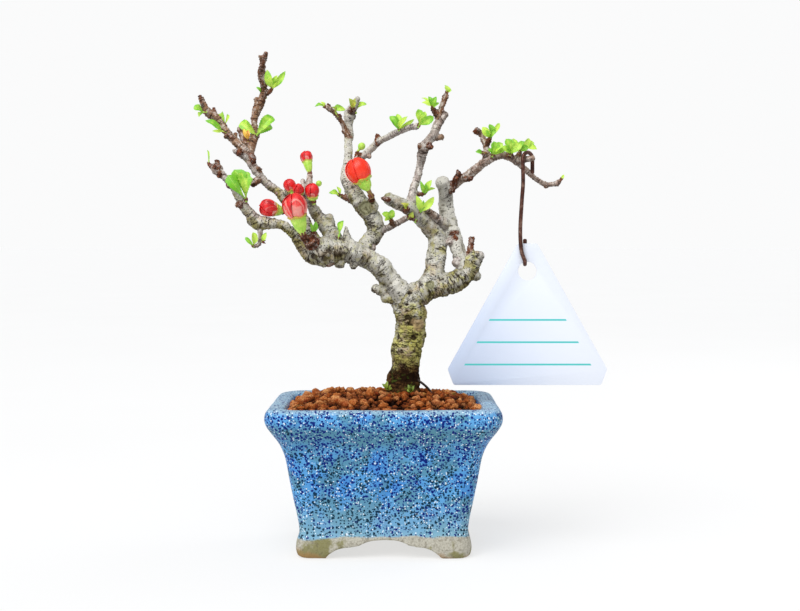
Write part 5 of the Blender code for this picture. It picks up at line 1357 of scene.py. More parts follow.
@dataclass
class Pot:
    """The glazed pot: a flared wall with a rolled lip, on four feet, with two drain holes."""

    middle: float = -7.8
    half_width: float = 56.0
    half_depth: float = 45.0
    corner: float = 13.0
    corner_loss: float = 0.45
    least_corner: float = 3.0
    corner_steps: int = 10
    outside: tuple[tuple[float, float], ...] = (
        (0, 40.1), (1, 41.1), (4.5, 41.8), (8.6, 41.2), (11.6, 40.2), (18, 40.8), (27.6, 42.7),
        (37, 44.5), (46.4, 46.2), (51.5, 47.8), (56, 50.1), (60.6, 53.3), (64.2, 55.4), (67.4, 56),
        (70.2, 55.3), (71.7, 53.6), (72, 51.2), (71.4, 47.4), (68, 45.8),
    )
    floor: tuple[float, float] = (14.5, 33.5)
    recess: tuple[float, float] = (9.5, 34.0)
    arch: tuple[tuple[float, float], ...] = (
        (28, -2), (27.2, 0.4), (25.3, 2.4), (22, 4.5), (18.5, 5.3), (12.5, 6), (9.5, 7.4), (6, 8.5),
        (0, 8.8),
    )
    side_arch_share: float = 0.68
    through: float = 80
    drain_sides: int = 32
    drain_out: float = 17.0
    drain_radius: float = 5.0
    face_size: float = 0.95
    unevenness: float = 0.2
    widening: float = 1.011

    def plan(self, half_width: float) -> tuple[float, float, float]:
        """Half width, half depth and corner radius where the pot is this wide."""
        inset = self.half_width - half_width
        corner = max(self.corner - self.corner_loss * inset, self.least_corner)
        return half_width, self.half_depth - inset, corner

    def ring(self, height: float, half_width: float) -> list[Vector]:
        """The outline at a height.

        Args:
            height: millimetres above the table.
            half_width: half of the outline's width there.

        Returns:
            Its points, counterclockwise from above.
        """
        wide, deep, corner = self.plan(half_width)
        points = []
        for quarter, (sign_x, sign_y) in enumerate(((1, 1), (-1, 1), (-1, -1), (1, -1))):
            for step in range(self.corner_steps + 1):
                turn = pi / 2 * (quarter + step / self.corner_steps)
                points.append(Vector((
                    self.middle + sign_x * (wide - corner) + cos(turn) * corner,
                    sign_y * (deep - corner) + sin(turn) * corner,
                    height,
                )) * MM)
        return points

    def _arch(self, share: float, sideways: bool) -> Object:
        """The cutter of the gap between two feet, right through the pot."""
        half = [(x * share, z) for x, z in self.arch]
        outline = half + [(-x, z) for x, z in reversed(half[:-1])]
        return solid("cutter", [
            [Vector((self.middle + reach, x, z) if sideways else (self.middle + x, reach, z)) * MM
             for x, z in outline]
            for reach in (-self.through, self.through)
        ])

    def _drain(self, side: int) -> Object:
        """One drain hole's cutter."""
        centre = self.middle + side * self.drain_out
        return solid("cutter", [
            [(Vector((centre, 0, z)) + outward(AXIS_X, AXIS_Y, t) * self.drain_radius) * MM
             for t in turns(self.drain_sides)]
            for z in (4, 20)
        ])

    def build(self, finish: Material) -> Object:
        """Makes the pot's body with its arches, softened as fired clay is.

        Args:
            finish: the glaze.

        Returns:
            The pot.
        """
        profile = smooth_route([(w * MM, 0, h * MM, 0) for h, w in self.outside], 1.2)
        rings = [self.ring(p.z / MM, p.x / MM) for p, _ in profile]
        pot = solid("pot_body", [*rings, self.ring(*self.floor)])
        cutters = [
            solid("cutter", [self.ring(-1, self.recess[1]), self.ring(*self.recess)]),
            self._arch(1, False), self._arch(self.side_arch_share, True), self._drain(-1), self._drain(1),
        ]
        for cutter in cutters:
            modifier = pot.modifiers.new("cut", "BOOLEAN")
            modifier.operation = "DIFFERENCE"
            modifier.solver = "MANIFOLD"
            modifier.object = cutter
        data = remeshed(evaluated(pot), self.face_size)
        for cutter in cutters:
            bpy.data.objects.remove(cutter)
        relax(data, 3)
        points, normals = arrays(data)
        for i, point in enumerate(points):
            point += normals[i] * (self.unevenness * MM * (noise.noise(Vector(point) * 50) + 0.3))
        points[:, 0] = self.middle * MM + self.widening * (points[:, 0] - self.middle * MM)
        move(data, points)
        return settle(show("glazed_pot", data, finish, sharp=80), "blue_glaze", "pot")


@dataclass
class Soil:
    """The mound of soil: crumbs in shade, covered with fired granules."""

    pot: Pot
    edge: float = 67.0
    rise: float = 6.6
    mound: tuple[float, float] = (45.0, 37.0)
    half_width: float = 45.2
    flatness: int = 5
    corners: float = 0.05
    columns: int = 60
    rows: int = 44
    spacing: float = 2.25
    granule: float = 1.7
    fineness: int = 2
    large_spacing: float = 5.2
    large_granule: float = 2.5
    large_fineness: int = 3
    clearance: float = 0.6
    # How a granule is stretched at the least and at the most, and how far it is raised.
    stretch: tuple[Place, Place] = ((0.55, 0.55, 0.5), (1.4, 1.3, 1.15))
    lift: tuple[float, float] = (0.2, 2.1)
    # How many granules a square metre could hold, how fine their lumps are and how far these stand out.
    crowd: float = 400000
    lumps: float = 430
    break_up: float = 3.4
    seed: int = 7

    def height(self, x: float, y: float) -> float:
        """The mound's height at a place, in millimetres."""
        across, deep = (x - self.pot.middle) / self.mound[0], y / self.mound[1]
        flat = max(0.0, 1 - abs(across) ** self.flatness)
        return self.edge + self.rise * flat * max(0.0, 1 - deep**2)

    def _surface(self) -> Mesh:
        """The smooth top of the mound, inside the pot's wall."""
        wide, deep, _ = self.pot.plan(self.half_width)
        points, faces = [], []
        row = self.rows + 1
        for i in range(self.columns + 1):
            for j in range(row):
                u, v = 2 * i / self.columns - 1, 2 * j / self.rows - 1
                round_off = 1 - self.corners * (u * v) ** 4
                x, y = self.pot.middle + u * wide * round_off, v * deep * round_off
                points.append(Vector((x, y, self.height(x, y))) * MM)
                if i < self.columns and j < self.rows:
                    k = i * row + j
                    faces.append((k, k + row, k + row + 1, k + 1))
        data = bpy.data.meshes.new("mound")
        data.from_pydata(points, [], faces)
        return data

    def build_base(self, finish: Material) -> Object:
        """The closed body of the soil under the granules.

        Args:
            finish: the crumbs.

        Returns:
            The piece that stands for the soil.
        """
        work = bmesh.new()
        work.from_mesh(self._surface())
        rim = [edge for edge in work.edges if edge.is_boundary]
        sunk = bmesh.ops.extrude_edge_only(work, edges=rim)["geom"]
        lowest = [item for item in sunk if isinstance(item, bmesh.types.BMVert)]
        floor = self.pot.plan(self.pot.floor[1])
        wide, deep, _ = self.pot.plan(self.half_width)
        for vert in lowest:
            x = (vert.co.x / MM - self.pot.middle) / wide * (floor[0] - self.clearance)
            y = vert.co.y / MM / deep * (floor[1] - self.clearance)
            vert.co = Vector((self.pot.middle + x, y, self.pot.floor[0] + self.clearance)) * MM
        bmesh.ops.contextual_create(work, geom=[e for e in work.edges if e.is_boundary])
        bmesh.ops.recalc_face_normals(work, faces=work.faces)
        data = bpy.data.meshes.new("soil_body")
        work.to_mesh(data)
        work.free()
        return settle(show("soil_crumbs", data, finish), "red_granules", "soil")

    def _tree(self, finish: Material) -> NodeTree:
        """The Geometry Nodes that strew granules over a surface.

        Args:
            finish: the granules' material.

        Returns:
            The node tree, with inputs for the spacing, the granules' radius, their fineness and the seed.
        """
        tree = bpy.data.node_groups.new("strewn_granules", "GeometryNodeTree")
        for name, kind in (("Ground", "Geometry"), ("Spacing", "Float"), ("Radius", "Float"),
                           ("Fineness", "Int"), ("Seed", "Int")):
            tree.interface.new_socket(name, in_out="INPUT", socket_type=f"NodeSocket{kind}")
        tree.interface.new_socket("Granules", in_out="OUTPUT", socket_type="NodeSocketGeometry")
        given = tree.nodes.new("NodeGroupInput").outputs

        def add(kind: str, settings: dict[str, object], **links: object) -> NodeSocket:
            """Adds a node with its settings and inputs, and hands over its first live output."""
            node = tree.nodes.new(kind)
            for key, value in settings.items():
                setattr(node, key, value)
            for key, value in links.items():
                socket = next(s for s in node.inputs if s.name == key.replace("_", " ") and s.enabled)
                if isinstance(value, NodeSocket):
                    tree.links.new(value, socket)
                else:
                    socket.default_value = value
            return next(s for s in node.outputs if s.enabled)

        def between(low: Place, high: Place) -> NodeSocket:
            """A random vector for each granule."""
            kind = {"data_type": "FLOAT_VECTOR"}
            return add("FunctionNodeRandomValue", kind, Min=low, Max=high, Seed=given["Seed"])

        spots = add("GeometryNodeDistributePointsOnFaces", {"distribute_method": "POISSON"},
                    Mesh=given["Ground"], Distance_Min=given["Spacing"], Density_Max=self.crowd,
                    Seed=given["Seed"])
        lump = add("GeometryNodeMeshIcoSphere", {}, Radius=given["Radius"], Subdivisions=given["Fineness"])
        laid = add("GeometryNodeInstanceOnPoints", {}, Points=spots, Instance=lump,
                   Rotation=between((0, 0, 0), (6.28, 6.28, 6.28)), Scale=between(*self.stretch))
        tint = add("FunctionNodeRandomValue", {"data_type": "FLOAT"}, Seed=given["Seed"])
        tinted = add("GeometryNodeStoreNamedAttribute", {"data_type": "FLOAT", "domain": "INSTANCE"},
                     Geometry=laid, Name="tint", Value=tint)
        low, high = ((0, 0, lift * MM) for lift in self.lift)
        raised = add("GeometryNodeTranslateInstances", {}, Instances=tinted,
                     Translation=between(low, high), Local_Space=False)
        real = add("GeometryNodeRealizeInstances", {}, Geometry=raised)
        rough = add("ShaderNodeTexNoise", {}, Scale=self.lumps, Detail=3).node.outputs["Color"]
        centred = add("ShaderNodeVectorMath", {"operation": "SUBTRACT"}, Vector=rough)
        centred.node.inputs[1].default_value = (0.5, 0.5, 0.5)
        reach = self.break_up * MM
        shove = add("ShaderNodeVectorMath", {"operation": "SCALE"}, Vector=centred, Scale=reach)
        broken = add("GeometryNodeSetPosition", {}, Geometry=real, Offset=shove)
        done = add("GeometryNodeSetMaterial", {}, Geometry=broken, Material=finish)
        tree.links.new(done, tree.nodes.new("NodeGroupOutput").inputs[0])
        return tree

    def strew(
        self, name: str, spacing: float, radius: float, fineness: int, finish: Material
    ) -> Object:
        """Covers the mound with granules.

        Args:
            name: the piece's name.
            spacing: millimetres from one granule to the next, at the least.
            radius: a middling granule's radius in millimetres.
            fineness: how often a granule's faces are divided.
            finish: the granules' material.

        Returns:
            The piece that holds them all.
        """
        ground = bpy.data.objects.new("ground", self._surface())
        bpy.context.scene.collection.objects.link(ground)
        modifier = ground.modifiers.new("granules", "NODES")
        modifier.node_group = self._tree(finish)
        wanted = {"Spacing": spacing * MM, "Radius": radius * MM, "Fineness": fineness, "Seed": self.seed}
        for item in modifier.node_group.interface.items_tree:
            if item.name in wanted:
                modifier[item.identifier] = wanted[item.name]
        data = evaluated(ground)
        points, _ = arrays(data)
        # Each point's height above the mound, which the granules' painted shade and light read.
        carry(data, "rise", np.array([z / MM - self.height(x / MM, y / MM) for x, y, z in points]))
        return settle(show(name, data, finish, sharp=35), "red_granules")


@dataclass(frozen=True)
class Section:
    """One place along a limb's centre line, as the bark reads it."""

    centre: Vector
    radius: float
    along: Vector
    side: Vector
    other: Vector
    reach: float = 0.0
    youth: float = 0.0
    grime: float = 0.0
    ringed: float = 0.0


# A scar's marks as shares of its radius: how far bald skin and sawn wood reach, and where its rim lies.
BALD_REACH, SAWN_REACH, RIM_AT, RIM_WIDTH = 1.2, 0.92, 1.05, 0.22
BALD_RISE = 0.3  # millimetres that bald skin stands out


class Scar(Enum):
    """What marks the bark where something once grew: how ragged, how high its rim, how deep it is."""

    SAWN = (0.3, 0.5, 0.25)
    DENT = (0.5, 0.28, 0.95)
    BALD = (0.5, 0.0, 0.0)

    def mark(self, lift: float, cut: float, out: float, ragged: float) -> tuple[float, float]:
        """What the scar does to a point of the bark.

        Args:
            lift: how far the bark stands out there so far.
            cut: how it shows as wood or bald skin so far.
            out: the point's distance from the scar's middle, as a share of its radius.
            ragged: noise from -1 to 1.

        Returns:
            The new lift and cut.
        """
        unevenness, rim, depth = self.value
        out *= 1 + unevenness * ragged
        inside = max(0.0, 1 - out * out)
        if self is Scar.BALD:
            return lift * min(out, 1.0) + BALD_RISE * inside, min(cut, out - BALD_REACH)
        if self is Scar.SAWN and out < SAWN_REACH:
            cut = 0.08 + 0.5 * out
        return lift + rim * exp(-((out - RIM_AT) / RIM_WIDTH) ** 2) - depth * inside, cut


@dataclass
class Tree:
    """The tree: every limb, spur and root grown into one skin of bark."""

    face_size: float = 0.545
    # How young a spur's skin is where it has scales, and how many; millimetres from bud to bud on a twig.
    scaly_from: float = 0.8
    scales: int = 9
    bud_every: float = 7.5
    # How high the bark's swellings, knots, grains, wrinkles and rings stand.
    broad: float = 0.15
    knots: float = 0.12
    grains: float = 0.16
    wrinkle: float = 0.3
    ringing: float = 0.5
    # How fine the swellings, knots and grains are, and the ragged edge of a scar, in waves to a metre.
    waves: tuple[float, float, float] = (150, 430, 1100)
    ragged: float = 420
    # How each limb's skin looks: young at its start and end, and grimy at its start and end.
    skins: tuple[tuple[str, float, float, float, float], ...] = (
        ("trunk", 0, 0, 1, 0.8), ("left_limb", 0, 0, 0.05, 0.6), ("right_limb", 0, 0, 0.6, 0.8),
        ("rising_limb", 0, 0, 0.5, 0.15), ("tall_stub", 0, 0.04, 0.2, -0.35),
        ("middle_branch", 0, 0.26, 0.65, 0), ("bud_branch", 0.05, 0.5, 0.5, 0.1),
        ("low_left_branch", 0, 0.48, 0.7, 0.2), ("upper_left_branch", 0, 0.6, 0.9, 0.1),
        ("far_left_twig", 0.64, 0.72, 0, 0), ("crown_left_twig", 0.66, 0.84, 0, 0),
        ("fine_twig", 0.72, 0.6, 0, 0), ("slant_twig", 0.26, 0.36, 0.1, 0),
        ("front_twig", 0.34, 0.44, 0.1, 0), ("front_twig_tip", 0.7, 0.76, 0, 0),
        ("tag_branch", 0.5, 0.46, 0, 0), ("tag_branch_side", 0.46, 0.62, 0, 0),
        ("hanging_twig", 0.36, 0.5, 0.2, 0), ("cross_twig", 0.36, 0.46, 0, 0),
    )
    spur_grime: float = 0.42
    # A limb's faces round about, millimetres between its rings, and how many points are compared at a time.
    sides: int = 14
    spacing: float = 0.9
    batch: int = 4000
    # How many times a scar's radius its marks reach, and a cut's; how squarely a face of a cut looks along.
    scar_reach: float = 2.2
    cut_reach: float = 1.25
    cut_facing: float = 0.62
    # Scars that show from the front: their kind, then across, up and radius of each.
    scars: tuple[tuple[Scar, tuple[Place, ...]], ...] = (
        (Scar.SAWN, ((-17, 168, 3.8), (15, 129.6, 2.3))),
        (Scar.BALD, ((9.4, 109.4, 3.8),)),
        (Scar.DENT, ((4.6, 125.2, 1.2), (4.2, 122.4, 1.2), (3.6, 119.6, 1.3), (3.2, 116.6, 1.6),
            (3.8, 113.4, 2), (5.6, 110.8, 2.2), (8, 112.6, 1.6), (0.2, 118.4, 1.6), (-1, 104, 1.8),
            (-38, 141.6, 3.6), (-31, 144.6, 2.6), (-43, 143.4, 2.4), (38.6, 143.6, 1.1))),
    )
    # Limbs that end in a cut, which shows its wood.
    cuts: tuple[str, ...] = ("rising_limb",)

    def __post_init__(self) -> None:
        """Starts without sections."""
        self.sections: list[Section] = []
        self.surface: BVHTree | None = None

    def _grow(
        self, shell: Shell, points: Sequence[Sequence[float]], skin: Sequence[float], ringed: float
    ) -> Tube:
        """Adds one limb to the shell and remembers its sections.

        Args:
            shell: the tree so far.
            points: the limb's (across, up, depth, radius).
            skin: how young it looks at its start and end, and how grimy at its start and end.
            ringed: how strongly it is ringed with old bud scars.

        Returns:
            The tube that was added.
        """
        places = [(*seen(a, u, d), r * MM) for a, u, d, r in points]
        tube = Tube(smooth_route(places, self.spacing), self.sides)
        tube.into(shell)
        reach = 0.0
        rows = tube.sections()
        for i, (centre, radius, along, side, other) in enumerate(rows):
            reach += (centre - rows[i - 1][0]).length / MM if i else 0.0
            share = i / (len(rows) - 1)
            youth = skin[0] + (skin[1] - skin[0]) * share * share
            grime = skin[2] + (skin[3] - skin[2]) * share
            self.sections.append(Section(centre, radius, along, side, other, reach, youth, grime, ringed))
        return tube

    def _dormant_buds(self, shell: Shell, tube: Tube, draw: random.Random) -> None:
        """Sets small pointed buds along a young twig, turn about.

        Args:
            shell: the tree so far.
            tube: the twig.
            draw: where the turns come from.
        """
        rows = tube.sections()
        since, turn = self.bud_every * 0.6, draw.uniform(0, 6.28)
        for i in range(1, len(rows) - 2):
            centre, radius, along, side, other = rows[i]
            since += (centre - rows[i - 1][0]).length / MM
            if since < self.bud_every:
                continue
            since = draw.uniform(-1.5, 1.5)
            turn += NEXT_TURN
            out = outward(side, other, turn)
            foot = centre + out * radius * 0.6
            tip = foot + (out * 0.75 + along) * (draw.uniform(1.3, 2.1) * MM)
            spike(shell, foot, tip, DORMANT, 0, 7)
            self.sections.append(Section(tip, 0.5 * MM, along, side, other, youth=0.95))

    def _bud_scales(self, shell: Shell, tube: Tube, draw: random.Random) -> None:
        """Sets pointed scales round the end of a spur.

        Args:
            shell: the tree so far.
            tube: the spur.
            draw: where the turns come from.
        """
        rows = tube.sections()
        for k in range(self.scales):
            centre, radius, along, side, other = rows[-1 - k % 3]
            turn = NEXT_TURN * k + draw.uniform(-0.3, 0.3)
            out = outward(side, other, turn)
            foot = centre + out * radius * 0.5
            lean = (along + out * draw.uniform(0.3, 0.9)).normalized()
            tip = foot + lean * (radius * draw.uniform(0.65, 1.15))
            radii = tuple(radius / MM * share for share in SPUR_SCALE)
            spike(shell, foot, tip, radii, 0, 7, 0.6, 0.5)
            tone = draw.uniform(0.75, 1.0)
            self.sections.append(Section(tip, radius * 0.3, along, side, other, youth=tone))

    def _shell(self) -> Shell:
        """Everything that grew, still as separate tubes."""
        shell = Shell()
        draw = random.Random(5)
        skins = {name: skin for name, *skin in self.skins}
        for name, points in LIMBS.items():
            skin = skins[name]
            tube = self._grow(shell, points, skin, 0.8 * max(skin[:2]))
            if skin[1] > 0.5:
                self._dormant_buds(shell, tube, draw)
        for *ends, youth in SPURS:
            skin = (youth * 0.9, youth, self.spur_grime, self.spur_grime)
            tube = self._grow(shell, (ends[:4], ends[4:]), skin, 0.3 + 0.7 * youth)
            if youth > self.scaly_from:
                self._bud_scales(shell, tube, draw)
        return shell

    def _build_roots(self, finish: Material) -> Object:
        """The roots in the soil, their inner ends sunk into the foot of the trunk."""
        shell = Shell()
        for turn, length in ROOTS:
            out = Vector((cos(radians(turn)), 0.8 * sin(radians(turn)), 0))
            places = [
                (*((Vector((1.0, 0, height)) + out * length * share) * MM), radius * MM)
                for share, height, radius in ROOT_SHAPE
            ]
            Tube(smooth_route(places, 2.0), 12).into(shell, 0, length)
        return settle(show("buried_roots", shell.mesh("roots"), finish, sharp=80), "bark")

    def _find_scars(self, data: Mesh) -> list[tuple[Vector, float, Scar]]:
        """Where the scars lie on the bark, as the eye in front meets it.

        Args:
            data: the even skin.

        Returns:
            Each scar's middle, radius and kind.
        """
        work = bmesh.new()
        work.from_mesh(data)
        skin = BVHTree.FromBMesh(work)
        work.free()
        eye = Vector((0, -EYE_BEFORE, EYE_ABOVE)) * MM
        found = []
        for kind, places in self.scars:
            for across, up, radius in places:
                hit = skin.ray_cast(eye, (Vector((across, 0, up)) * MM - eye).normalized())[0]
                if hit:
                    found.append((hit, radius * MM, kind))
        return found

    def _find_ends(self) -> list[tuple[Vector, float, Vector]]:
        """The middle, radius and direction of each sawn end."""
        ends = []
        for name in self.cuts:
            before, end = (seen(*point[:3]) for point in LIMBS[name][-2:])
            ends.append((end, LIMBS[name][-1][3] * MM, (end - before).normalized()))
        return ends

    def _nearest(self, points: np.ndarray) -> np.ndarray:
        """The number of the section whose bark each point lies on."""
        centres = np.array([s.centre for s in self.sections])
        radii = np.array([s.radius for s in self.sections])
        found = np.empty(len(points), np.int64)
        for start in range(0, len(points), self.batch):
            part = points[start:start + self.batch]
            apart = np.linalg.norm(part[:, None, :] - centres[None], axis=2)
            found[start:start + self.batch] = np.argmin(apart - 0.9 * radii[None], axis=1)
        return found

    def _bark(self, data: Mesh) -> None:
        """Raises the bark's relief and stores what the material reads.

        Args:
            data: the even skin, which is changed.
        """
        points, normals = arrays(data)
        nearest = self._nearest(points)
        ways = np.zeros((len(points), 3), np.float32)
        told = {name: np.zeros(len(points)) for name in ("youth", "lift", "under", "grime", "cut")}
        # How far each point faces the ground, for the bark's painted shade.
        told["under"] = (0.5 - 1.1 * normals[:, 2]).clip(0, 1)
        scars, ends = self._find_scars(data), self._find_ends()
        for i, point in enumerate(points):
            s = self.sections[nearest[i]]
            place, normal = Vector(point), Vector(normals[i])
            off = place - s.centre
            thick = s.radius / MM
            angle = atan2(off.dot(s.other), off.dot(s.side))
            reach = s.reach + off.dot(s.along) / MM
            way = Vector((cos(angle) * thick, sin(angle) * thick, reach))
            lift = self._rise(s, place, way, thick)
            cut = 0.0
            for middle, radius, kind in scars:
                out = (place - middle).length / radius
                if out < self.scar_reach:
                    lift, cut = kind.mark(lift, cut, out, noise.noise(place * self.ragged))
            for end, radius, along in ends:
                apart = place - end
                if apart.length < self.cut_reach * radius and normal.dot(along) > self.cut_facing:
                    cut = max((apart - along * apart.dot(along)).length / MM * 0.16, 0.06)
            points[i] += np.array(normal) * (lift * MM)
            ways[i] = way
            for name, value in (("youth", s.youth), ("lift", lift), ("grime", s.grime), ("cut", cut)):
                told[name][i] = value
        move(data, points)
        for name, values in {WAY: ways, **told}.items():
            carry(data, name, values)

    def _rise(self, s: Section, place: Vector, way: Vector, thick: float) -> float:
        """How far the bark stands out where it isn't marked.

        Args:
            s: the nearest section.
            place: the point.
            way: where it lies round and along its limb, in millimetres.
            thick: the limb's radius in millimetres.

        Returns:
            Millimetres, below 0 in a hollow.
        """
        broad, knots, grains = (noise.noise(place * waves) for waves in self.waves)
        lift = self.broad * min(thick, 6.5) * broad + self.knots * min(thick, 4.0) * knots
        lift += self.grains * grains
        fold = noise.noise(Vector((way.x * 0.12, way.y * 0.12, way.z * 0.62)) + s.side * 0.3)
        lift += self.wrinkle * min(thick / 5.0, 1.3) * (1 - 2.4 * abs(fold))
        ring = noise.noise(Vector((way.x * 0.1, way.y * 0.1, way.z * 1.05))) + 0.45 * sin(way.z * 4.4)
        return lift + self.ringing * s.ringed * ring

    def build(self, finish: Material) -> Object:
        """Grows the tree.

        Args:
            finish: the bark.

        Returns:
            The tree.
        """
        self._build_roots(finish)
        data = remeshed(self._shell().mesh("limbs"), self.face_size)
        relax(data, 2)
        self._bark(data)
        piece = show("grown_tree", data, finish, sharp=180)
        self.surface = BVHTree.FromObject(piece, bpy.context.evaluated_depsgraph_get())
        return settle(piece, "bark", "tree")


class Age(Enum):
    """How far a shoot has opened."""

    OPEN = "young_leaf"
    BUD = "leaf_bud"


@dataclass
class Blade:
    """One leaf: a folded, arched blade with a fine saw edge."""

    root: Vector
    tip: Vector
    width: float
    roll: float
    own: float
    steps: int = 20
    half_steps: int = 3
    thick: float = 0.34
    fold: float = 0.5
    arch: float = 0.14
    stalk: float = 0.36
    saw: float = 0.14
    teeth: int = 10
    droop: float = 0.6
    ripple: float = 0.22
    outline: tuple[float, float] = POINTED
    faces: tuple[float, float, float] = (0.15, -1.0, 0.35)

    def _half(self, t: float) -> float:
        """Half of the leaf's width at a share of its length, in millimetres."""
        rise, fall = self.outline
        widest = rise / (rise + fall)
        form = t**rise * (1 - t) ** fall / (widest**rise * (1 - widest) ** fall)
        tooth = 1 + self.saw * (2 * abs((t * self.teeth) % 1 - 0.5) - 0.5)
        return max(self.width / 2 * min(form, 1.0) * tooth, self.stalk * (1 - 0.75 * t))

    def into(self, shell: Shell) -> None:
        """Adds the blade to a shell."""
        along = self.tip - self.root
        length = along.length
        along.normalize()
        face = Vector(self.faces)
        face = (face - along * face.dot(along)).normalized()
        face = Matrix.Rotation(self.roll, 3, along) @ face
        across = along.cross(face)
        marks = [j / self.half_steps for j in range(-self.half_steps, self.half_steps + 1)]
        rings, ways = [], []
        for i in range(self.steps + 1):
            t = i / self.steps
            half = self._half(t) * MM
            rib = self.root + along * (t * length) + face * (self.arch * length * sin(pi * t))
            rib -= face * (self.droop * length * max(t - 0.6, 0.0) ** 2)
            upper, lower, carried = [], [], []
            for u in marks:
                wave = self.ripple * sin(9 * t + 5 * self.own + (1.5 if u < 0 else 0.0)) * u * u
                lift = face * half * (self.fold * abs(u) ** 1.4 + wave)
                place = rib + across * (u * half) + lift
                body = face * (self.thick * MM / 2 * (1 - 0.75 * u * u))
                upper.append(place + body)
                lower.append(place - body)
                carried.append((u, t, self.own))
            rings.append(upper + lower[::-1])
            ways.append(carried + carried[::-1])
        shell.loft(rings, ways)


# Millimetres that a growth looks back for the bark, and how deep its foot lies in it.
LOOK_BACK, SUNK = 6, 0.5


@dataclass
class Shoot:
    """One tuft or weed: leaves on a short stem with brown scales at its foot."""

    name: str
    node: str
    places: tuple
    age: Age
    surface: BVHTree
    outline: tuple[float, float] = POINTED
    scales: int = 4

    def build(self, leaf: Material, scale: Material) -> Object:
        """Makes the shoot.

        Args:
            leaf: the leaves' material.
            scale: the scales' material.

        Returns:
            The shoot.
        """
        rolls, own = random.Random(self.node), random.Random(self.node + "own")
        root = seen(*self.places[0])
        leaves = [(seen(*tip), width) for *tip, width in self.places[1:]]
        lean = sum(((tip - root).normalized() for tip, _ in leaves), Vector()).normalized()
        start = self._foot(root, lean)
        shell = Shell()
        thick = min(0.5 + 0.07 * max(width for _, width in leaves), 0.9) * MM
        end = root + lean * 0.4 * MM
        stem = [(*start, thick), (*start.lerp(root, 0.6), thick * 0.9), (*end, 0.42 * MM)]
        Tube(smooth_route(stem, 0.8), 8).into(shell, 0, 0.1)
        fold = 0.95 if self.age is Age.BUD else 0.5
        for i, (tip, width) in enumerate(leaves):
            foot = root - (root - start) * (0.5 * i / len(leaves))
            roll, tone = rolls.uniform(-0.5, 0.5), own.random()
            Blade(foot, tip, width, roll, tone, fold=fold, outline=self.outline).into(shell)
        self._scales(shell, start, root, thick, own)
        piece = show(self.name, shell.mesh(self.name), leaf, scale, sharp=60)
        return settle(piece, self.age.value, self.node)

    def _foot(self, root: Vector, lean: Vector) -> Vector:
        """Where the stem comes out of the bark behind the root."""
        hit = self.surface.ray_cast(root, -lean, LOOK_BACK * MM)[0]
        return hit - lean * SUNK * MM if hit else self.surface.find_nearest(root)[0].lerp(root, -0.3)

    def _scales(self, shell: Shell, start: Vector, root: Vector, thick: float, draw: random.Random) -> None:
        """Sets small pointed scales round the stem's foot."""
        axis = (root - start).normalized()
        side = axis.orthogonal().normalized()
        for k in range(self.scales):
            turn = 2 * pi * (k + draw.uniform(-0.2, 0.2)) / self.scales
            out = outward(side, axis.cross(side), turn)
            foot = start + axis * (0.4 * MM) + out * thick * 0.5
            tip = foot + axis * (draw.uniform(1.0, 1.7) * MM) + out * (draw.uniform(0.3, 0.7) * MM)
            spike(shell, foot, tip, SHOOT_SCALE)


